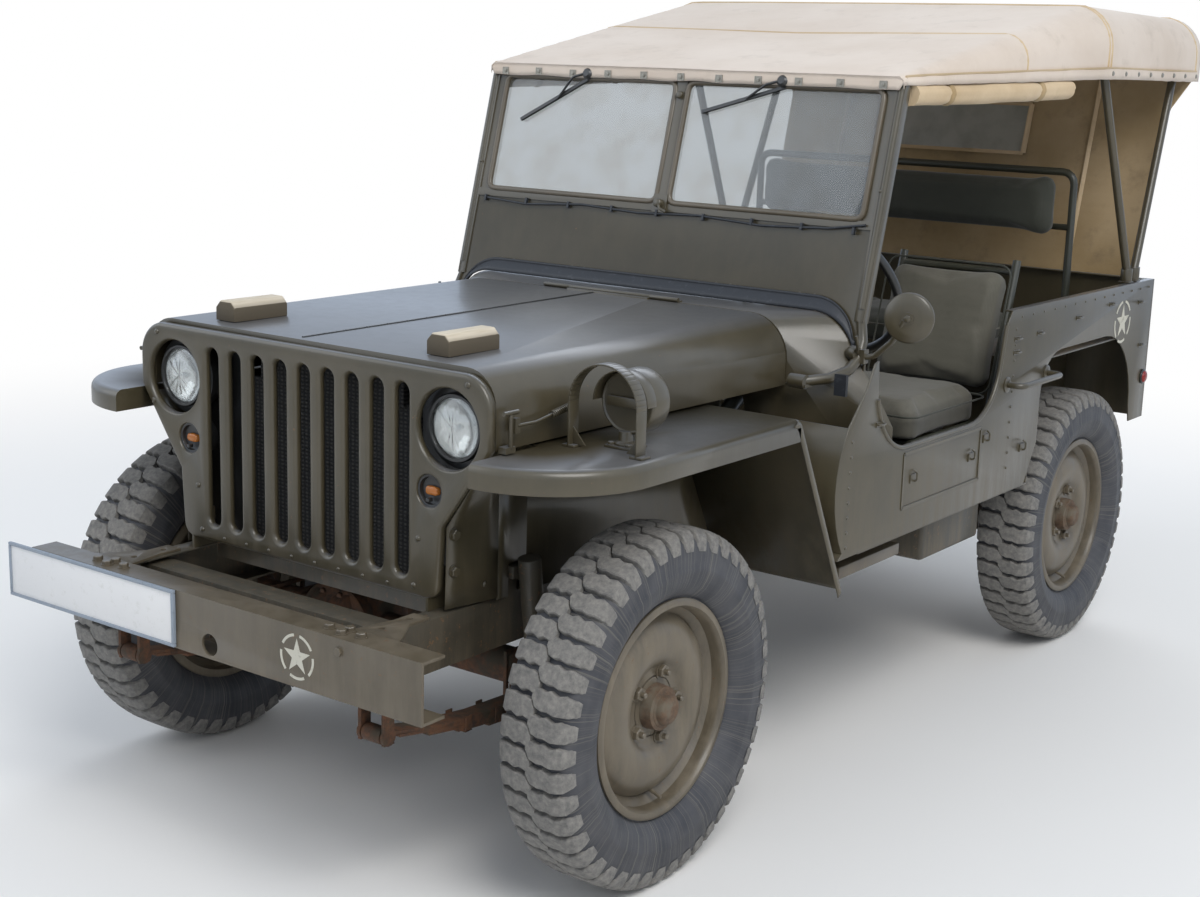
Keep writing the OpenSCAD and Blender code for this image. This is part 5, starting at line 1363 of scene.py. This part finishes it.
def cushion(name, body, place, size, t, material, cell, cap, node=None, seams=()):
    """A stuffed cushion: its form is remeshed, swollen as cloth under pressure, by cap
    metres at most, and drawn in at its seams. place puts its underside's corner."""
    inset = 7
    bm = slab_form((size[0] - 2 * inset, size[1] - 2 * inset), t - inset)
    bmesh.ops.transform(bm, matrix=Matrix.Translation((inset, inset, 0.5)), verts=bm.verts)
    mesh = bpy.data.meshes.new(name)
    bmesh.ops.recalc_face_normals(bm, faces=bm.faces)
    bm.to_mesh(mesh)
    bm.free()
    mesh.transform(Matrix.Scale(0.001, 4))
    obj = bpy.data.objects.new(name, mesh)
    bpy.context.scene.collection.objects.link(obj)
    remesh = obj.modifiers.new("even_mesh", "REMESH")
    remesh.mode = "VOXEL"
    remesh.voxel_size = cell
    bpy.context.view_layer.update()
    even = bpy.data.meshes.new_from_object(obj.evaluated_get(bpy.context.evaluated_depsgraph_get()))
    obj.modifiers.clear()
    obj.data = even
    rest = [v.co.copy() for v in even.vertices]
    press = obj.modifiers.new("stuffing", "CLOTH")
    press.settings.use_pressure = True
    press.settings.uniform_pressure_force = 4
    press.settings.effector_weights.gravity = 0
    press.settings.quality = 4
    press.collision_settings.use_collision = False
    press.point_cache.frame_end = 20
    for step in range(1, 21):
        bpy.context.scene.frame_set(step)
    seen = obj.evaluated_get(bpy.context.evaluated_depsgraph_get())
    swollen = [v.co.copy() for v in seen.data.vertices]
    obj.modifiers.clear()
    bpy.context.scene.frame_set(1)
    w, d, top = size[0] / 1000, size[1] / 1000, t / 1000
    for v, start, end in zip(even.vertices, rest, swollen):
        move = end - start
        if move.length > cap:
            move *= cap / move.length
        p = start + move
        # creases run across the seat and deepen towards its edges
        edge = max(abs(p.x / w * 2 - 1), abs(p.y / d * 2 - 1))
        crease = 0.0028 * edge * (wave(p.x * 26, p.y * 9, 4) + 0.7 * wave(p.x * 11, p.y * 31, 6))
        if p.z > top * 0.45:
            p.z += crease - 0.001
        for across, at in seams:
            near = (p.x if across else p.y) - at / 1000
            if p.z > top * 0.4:
                p.z -= 0.007 * math.exp(-(near / 0.008) ** 2)
        p.x = min(max(p.x, -0.004), w + 0.004)
        p.y = min(max(p.y, -0.004), d + 0.004)
        p.z = min(max(p.z, 0.0004), top + 0.012)
        v.co = p
    even.materials.clear()
    even.materials.append(material)
    even.transform(TO_ROW @ place @ Matrix.Scale(1000, 4))
    smoothing = obj.modifiers.new("smooth_cloth", "SUBSURF")
    smoothing.levels = 1
    smoothing.render_levels = 1
    even.polygons.foreach_set("use_smooth", [True] * len(even.polygons))
    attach(obj, body)
    if node:
        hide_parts(node)
    return obj


def piping(name, body, place, size, material, height):
    """The corded seam round a cushion, at a height up its side."""
    outline = round_corners(size[0] - 2, size[1] - 2, 34)
    bm = bmesh.new()
    swept(bm, [place @ Vector((x + 1, y + 1, height)) for x, y in outline], 2.6, 8, 1.0, True)
    piece(name, bm, body, material, smooth=80)


SEAT = (380, 420)
SEAT_BACK = (360, 345)
SEAT_BACK_LEAN = 16                   # degrees
REAR_SEAT = (880, 400)
back_turn = Matrix.Rotation(math.radians(90 - SEAT_BACK_LEAN), 4, "X")
for name, x, body in (("driver", 445, "chassis"), ("passenger", -445, "passenger_seat")):
    base = Matrix.Translation((x - SEAT[0] / 2, 1075, 712))
    cushion(name + "_seat_base", body, base, SEAT, 85, seat_duck, 0.009, 0.02, name + "_cushions")
    piping(name + "_base_piping", body, base, SEAT, dark_duck, 62)
    back = Matrix.Translation((x - SEAT_BACK[0] / 2, 1500, 775)) @ back_turn @ Matrix.Translation((0, 0, -60))
    cushion(name + "_seat_back", body, back, SEAT_BACK, 60, seat_duck, 0.009, 0.018)
    piping(name + "_back_piping", body, back, SEAT_BACK, dark_duck, 42)
base = Matrix.Translation((-REAR_SEAT[0] / 2, 1780, 825.3))
middle_seam = ((True, REAR_SEAT[0] / 2),)
cushion("rear_seat_base", "chassis", base, REAR_SEAT, 75, dark_duck, 0.012, 0.02, "rear_cushions",
        middle_seam)
piping("rear_base_piping", "chassis", base, REAR_SEAT, seat_duck, 55)
back = Matrix.Translation((-505, 2203.7, 1128)) @ Matrix.Rotation(math.radians(90), 4, "X")
cushion("rear_seat_back", "chassis", back, (1010, 188), 55, dark_duck, 0.010, 0.014)


# ---- inside ----

on_column = Matrix.Translation(COLUMN_FOOT) @ Matrix.Rotation(COLUMN_TILT - math.radians(90), 4, "X")
wheel_at = on_column @ Matrix.Translation((0, 0, 850))
bm = bmesh.new()
section = arc(215, 0, 11, 0, 330, 11)
turned(bm, section, wheel_at, 72, True)
for i in range(3):
    a = math.radians(90 + 120 * i)
    for off in (-7, 7):
        side = Vector((-math.sin(a), math.cos(a), 0)) * off
        path = [Vector((r * math.cos(a), r * math.sin(a), z)) + side for r,
                z in ((20, -6), (90, -14), (170, -8), (210, 0))]
        swept(bm, [wheel_at @ p for p in rounded(path, 60)], 4, 8)
turned(bm, [(12.1, -28), (26, -28), (26, 4), (22, 16), (14, 22), (12.1, 22)], wheel_at, 40, True)
turned(bm, [(0, 29), (20, 28), (24, 22), (24, 16), (13, 15), (0, 31.5)], wheel_at, 32)
piece("three_spoke_wheel", bm, "steering_wheel", black_enamel, ["steering_wheel"], smooth=45)

DASH_Y = 832.5
# across, up, and radius of each dial
DIALS = ((0, 950, 46), (-78, 975, 26), (78, 975, 26), (-78, 915, 26), (78, 915, 26))
bm = bmesh.new()
# dash instruments, switches, pedals, hand brake and the levers on the gearbox
for x, z, r in DIALS:
    turned(bm, [(r, 0), (r + 4, 0), (r + 4, 7), (r + 1, 9), (r - 1, 5), (r - 1, 0)],
           aimed((x, DASH_Y, z), (0, 1, 0)), 36, True)
for x in (-240, -200, -160, 160, 200, 240):
    turned(bm, [(0, 0), (9, 0), (9, 8), (5, 12), (5, 20), (0, 20)], aimed((x, DASH_Y, 940), (0, 1, 0)), 18)
swept(bm, rounded([(60, 870, 684), (62, 900, 800), (70, 985, 905)], 120), 7, 10)
turned(bm, [(0, -20), (15, -16), (20, 0), (14, 16), (0, 20)], aimed((70, 985, 910), (0, 0.6, 1)), 24)
for x in (-10, -45):
    swept(bm, rounded([(x, 950, 684), (x, 965, 760), (x, 1000, 810)], 50), 5.5, 8)
    turned(bm, [(0, -11), (9, -9), (12, 0), (8, 10), (0, 12)], aimed((x, 1002, 814), (0, 0.5, 1)), 18)
for x in (250, 330, 430):
    swept(bm, rounded([(x, 790, 560), (x, 800, 640), (x, 850, 672)], 30), 6, 8)
    box(bm, (x - 28, 846, 652), (x + 28, 854, 704))
swept(bm, rounded([(140, 836, 880), (140, 900, 872), (140, 960, 868)], 20), 7, 8)
swept(bm, [(120, 962, 868), (160, 962, 868)], 7, 8)
piece("dash_and_controls", bm, "chassis", black_enamel, smooth=45)
bm = bmesh.new()
for x, z, r in DIALS:
    turned(bm, [(0, 1), (r - 2, 1), (r - 2, 0), (0, 0)], aimed((x, DASH_Y, z), (0, 1, 0)), 32)
piece("dial_faces", bm, "chassis", dark_inside)
bm = bmesh.new()
for x, z, r in DIALS:
    for k in range(9):
        a = math.radians(225 - k * 33.75)
        place = Matrix.Translation((x, 833.8, z)) @ Matrix.Rotation(-a, 4, "Y")
        box(bm, (r * 0.62, 0, -0.9), (r * 0.86, 0.6, 0.9), place)
    box(bm, (-4, 0, -1.3), (r * 0.6, 0.9, 1.3),
        Matrix.Translation((x, 834, z)) @ Matrix.Rotation(math.radians(-205), 4, "Y"))
piece("dial_marks", bm, "chassis", dial_white)


# ---- body sides ----

def star(place, r):
    """A flat five-pointed star in a ring broken at five places, as a stencil leaves it."""
    bm = bmesh.new()
    points = []
    for i in range(10):
        a = math.radians(90 + 36 * i)
        reach = r * 0.8 if i % 2 == 0 else r * 0.31
        points.append((reach * math.cos(a), reach * math.sin(a)))
    slab(bm, points, 0, 0.35, place)
    for i in range(5):
        start = 90 + 72 * i + 10
        outer = arc(0, 0, r, start, start + 52, 10)
        slab(bm, outer + arc(0, 0, r * 0.88, start + 52, start, 10), 0, 0.35, place)
    return bm


def side_place(y, z, s):
    """On a body side, with X forwards along the side and Y up."""
    turn = Matrix(((0, 0, s, 0), (s, 0, 0, 0), (0, 1, 0, 0), (0, 0, 0, 1)))
    return Matrix.Translation((s * (BODY_X + 0.1), y, z)) @ turn


for s, hand in ((1, "left"), (-1, "right")):
    piece(hand + "_side_star", star(side_place(2215, 905, s), 62), "chassis", stencil_white,
          smooth=20)
front_face = Matrix(((1, 0, 0, 0), (0, 0, -1, 0), (0, 1, 0, 0), (0, 0, 0, 1)))
piece("bumper_star", star(Matrix.Translation((238, BUMPER_Y - 0.1, 512)) @ front_face, 44), "chassis",
      stencil_white,
      smooth=20)

bm = bmesh.new()
x = BODY_X
# tool recess: a shallow tray whose bevelled rim stands out of the side
for y0, y1, z0, z1 in ((890, 1300, 596, 604), (890, 1300, 726, 734), (886, 894, 600, 730),
                       (1296, 1304, 600, 730)):
    box(bm, (x - 1, y0, z0), (x + 2.2, y1, z1))
# clamps, hooks and footman loops for the pioneer tools
for y, z in ((940, 665), (1250, 665), (1330, 700), (1560, 640)):
    box(bm, (x - 0.5, y - 16, z - 10), (x + 3, y + 16, z + 10))
    swept(bm, rounded([(x + 2, y, z - 6), (x + 11.5, y, z - 4), (x + 11.5, y, z + 14), (x + 3, y, z + 20)],
                      6), 2.6, 8)
for y, z in ((760, 820), (1480, 935), (1620, 935), (1880, 950), (2120, 965), (2350, 950), (2380, 820),
             (1480, 900)):
    box(bm, (x - 0.5, y - 18, z - 6), (x + 1.6, y + 18, z + 6))
    swept(bm, rounded([(x + 1, y - 13, z), (x + 9, y - 12, z), (x + 9, y + 12, z), (x + 1, y + 13, z)], 5),
          2.4, 8)
# rolled bead round the door cut
bead = arc(905, 905, 160, 190, 262, 12) + [(1230, 745)] + arc(1235, 905, 160, -80, -8, 12) + [(1412, 975)]
swept(bm, [(x - 2, y, z) for y, z in bead], 6, 10)
# upright riveted seams of the front return and behind the door
for z in range(560, 830, 34):
    rivet(bm, (x, 632 + max(0, (z - 690) * 0.05), z), (1, 0, 0), 4.5)
for z in range(600, 980, 40):
    rivet(bm, (x, 1470, z), (1, 0, 0), 4)
for y in range(1500, 2420, 70):
    rivet(bm, (x, y, 990), (1, 0, 0), 3.6)
# flanges of the side handle
for y in (1435, 1685):
    turned(bm, [(8.2, 0.3), (20, 0.3), (20, 3), (16, 4.5), (8.2, 5)], aimed((x, y, 822), (1, 0, 0)), 24, True)
both_sides(bm)
piece("side_fittings", bm, "chassis", olive, smooth=45)

bm = bmesh.new()
# sockets and straps at the feet of the bows, and rear panel fittings
for s in (-1, 1):
    for y in (2278, 2335):
        box(bm, (s * 686 - 16, y - 18, 1011), (s * 686 + 16, y + 18, 1015))
        turned(bm, [(12.4, 0), (17, 0), (17, 38), (12.4, 38)], Matrix.Translation((s * 686, y, 1014)), 24,
               True)
    for x in (200, 420, 640):
        for z in (980, 620):
            rivet(bm, (s * x, 2449.5, z), (0, 1, 0), 4)
    for x in (330, 560):
        box(bm, (s * x - 18, 2449, 964), (s * x + 18, 2452, 976))
        swept(bm, rounded([(s * x - 13, 2451, 970), (s * x - 12, 2459, 970), (s * x + 12, 2459, 970),
                           (s * x + 13, 2451, 970)], 5), 2.4, 8)
# plain tool box lid in the left rear corner of the panel
box(bm, (150, 2449, 700), (480, 2453, 940))
box(bm, (300, 2452, 716), (330, 2460, 728))
piece("rear_fittings", bm, "chassis", olive, edge=1, smooth=40)


# ---- floor, light and camera ----

bm = bmesh.new()
bmesh.ops.create_grid(bm, x_segments=1, y_segments=1, size=30000)
mesh = bpy.data.meshes.new("studio_floor")
bm.to_mesh(mesh)
bm.free()
mesh.transform(Matrix.Scale(0.001, 4))
ground = bpy.data.objects.new("studio_floor", mesh)
bpy.context.scene.collection.objects.link(ground)
paper, tree, shader, place = finish("pale_studio_paper", Roughness=0.95)
tooth = add(tree, "ShaderNodeTexNoise", {"Vector": place, "Scale": per(900), "Detail": 2})
paper_tone = add(tree, "ShaderNodeMix", {0: tooth.outputs[0], 6: linear("#f3f2f0"), 7: linear("#f7f6f4")},
                 data_type="RGBA")
wire(tree, shader, Base_Color=paper_tone.outputs[2])
# far from the car the paper goes over to plain white for the camera, so no horizon shows
away = add(tree, "ShaderNodeVectorMath", {0: place}, operation="LENGTH")
far = add(tree, "ShaderNodeMapRange", {0: away.outputs["Value"], 1: 2.0, 2: 5.5},
          interpolation_type="SMOOTHSTEP")
to_camera = add(tree, "ShaderNodeLightPath")
looked_at = add(tree, "ShaderNodeMath", {0: to_camera.outputs["Is Camera Ray"],
                                         1: to_camera.outputs["Is Transmission Ray"]},
                operation="MAXIMUM")
share = add(tree, "ShaderNodeMath", {0: far.outputs[0], 1: looked_at.outputs[0]}, operation="MULTIPLY")
white = add(tree, "ShaderNodeEmission", {"Color": (1, 1, 1, 1), "Strength": 1.0})
blend = add(tree, "ShaderNodeMixShader", {0: share.outputs[0], 1: shader.outputs[0], 2: white.outputs[0]})
tree.links.new(blend.outputs[0], tree.nodes["Material Output"].inputs["Surface"])
mesh.materials.append(paper)

sky = bpy.data.worlds.new("soft_sky")
sky.use_nodes = True
bpy.context.scene.world = sky
tree = sky.node_tree
tree.nodes.clear()
rays = add(tree, "ShaderNodeLightPath")
seen = add(tree, "ShaderNodeMath", {0: rays.outputs["Is Camera Ray"], 1: rays.outputs["Is Transmission Ray"]},
           operation="MAXIMUM")
aim = add(tree, "ShaderNodeSeparateXYZ", {0: add(tree, "ShaderNodeTexCoord").outputs["Generated"]})
rise = add(tree, "ShaderNodeMapRange", {0: aim.outputs[2], 1: 0.0, 2: 0.8})
dome = add(tree, "ShaderNodeMix", {0: rise.outputs[0], 6: linear("#e9ecf0"), 7: linear("#ccd8e8")},
           data_type="RGBA")
# the sky that gloss shows is brighter and bluer than the one that lights the car
glossy_sky = add(tree, "ShaderNodeMix", {0: rays.outputs["Is Glossy Ray"], 6: dome.outputs[2],
                                         7: linear("#d3e2f7")},
                 data_type="RGBA")
power = add(tree, "ShaderNodeMapRange", {0: rays.outputs["Is Glossy Ray"], 3: 0.62, 4: 1.15})
light = add(tree, "ShaderNodeBackground", {"Color": glossy_sky.outputs[2], "Strength": power.outputs[0]})
plain = add(tree, "ShaderNodeBackground", {"Color": (1, 1, 1, 1), "Strength": 1.0})
both = add(tree, "ShaderNodeMixShader", {0: seen.outputs[0], 1: light.outputs[0], 2: plain.outputs[0]})
add(tree, "ShaderNodeOutputWorld", {"Surface": both.outputs[0]})


def lamp(name, at, size, power, colour):
    """A large soft lamp that faces the car."""
    data = bpy.data.lights.new(name, "AREA")
    data.size = size
    data.energy = power
    data.color = colour
    obj = bpy.data.objects.new(name, data)
    obj.location = at
    obj.rotation_euler = (Vector((0, 0, 0.8)) - Vector(at)).to_track_quat("-Z", "Y").to_euler()
    bpy.context.scene.collection.objects.link(obj)


lamp("key_lamp", (4.5, -3.0, 6.0), 4.0, 330, (1.0, 0.98, 0.95))
lamp("fill_lamp", (-4.5, -4.0, 4.0), 5.0, 90, (0.95, 0.97, 1.0))
lamp("rear_lamp", (-2.0, 6.0, 5.0), 5.0, 150, (0.96, 0.98, 1.0))

# where the camera stands and how it is turned
CAMERA_AT = Vector((2.500, -3.753, 1.595))
YAW, PITCH, TURN = math.radians(35.58), math.radians(-12.37), math.radians(1.86)
ahead = Vector((-math.sin(YAW) * math.cos(PITCH), math.cos(YAW) * math.cos(PITCH), math.sin(PITCH)))
level = Vector((math.cos(YAW), math.sin(YAW), 0))
upright = level.cross(ahead)
right = level * math.cos(TURN) + upright * math.sin(TURN)
up = upright * math.cos(TURN) - level * math.sin(TURN)
camera_data = bpy.data.cameras.new("camera")
camera_data.sensor_width = 36
camera_data.lens = 52.8
camera_data.shift_x = -0.027
camera_data.shift_y = -0.002
camera = bpy.data.objects.new("camera", camera_data)
camera.matrix_world = Matrix.Translation(CAMERA_AT) @ Matrix((right, up, -ahead)).transposed().to_4x4()
bpy.context.scene.collection.objects.link(camera)
bpy.context.scene.camera = camera
bpy.context.scene.view_settings.view_transform = "Standard"
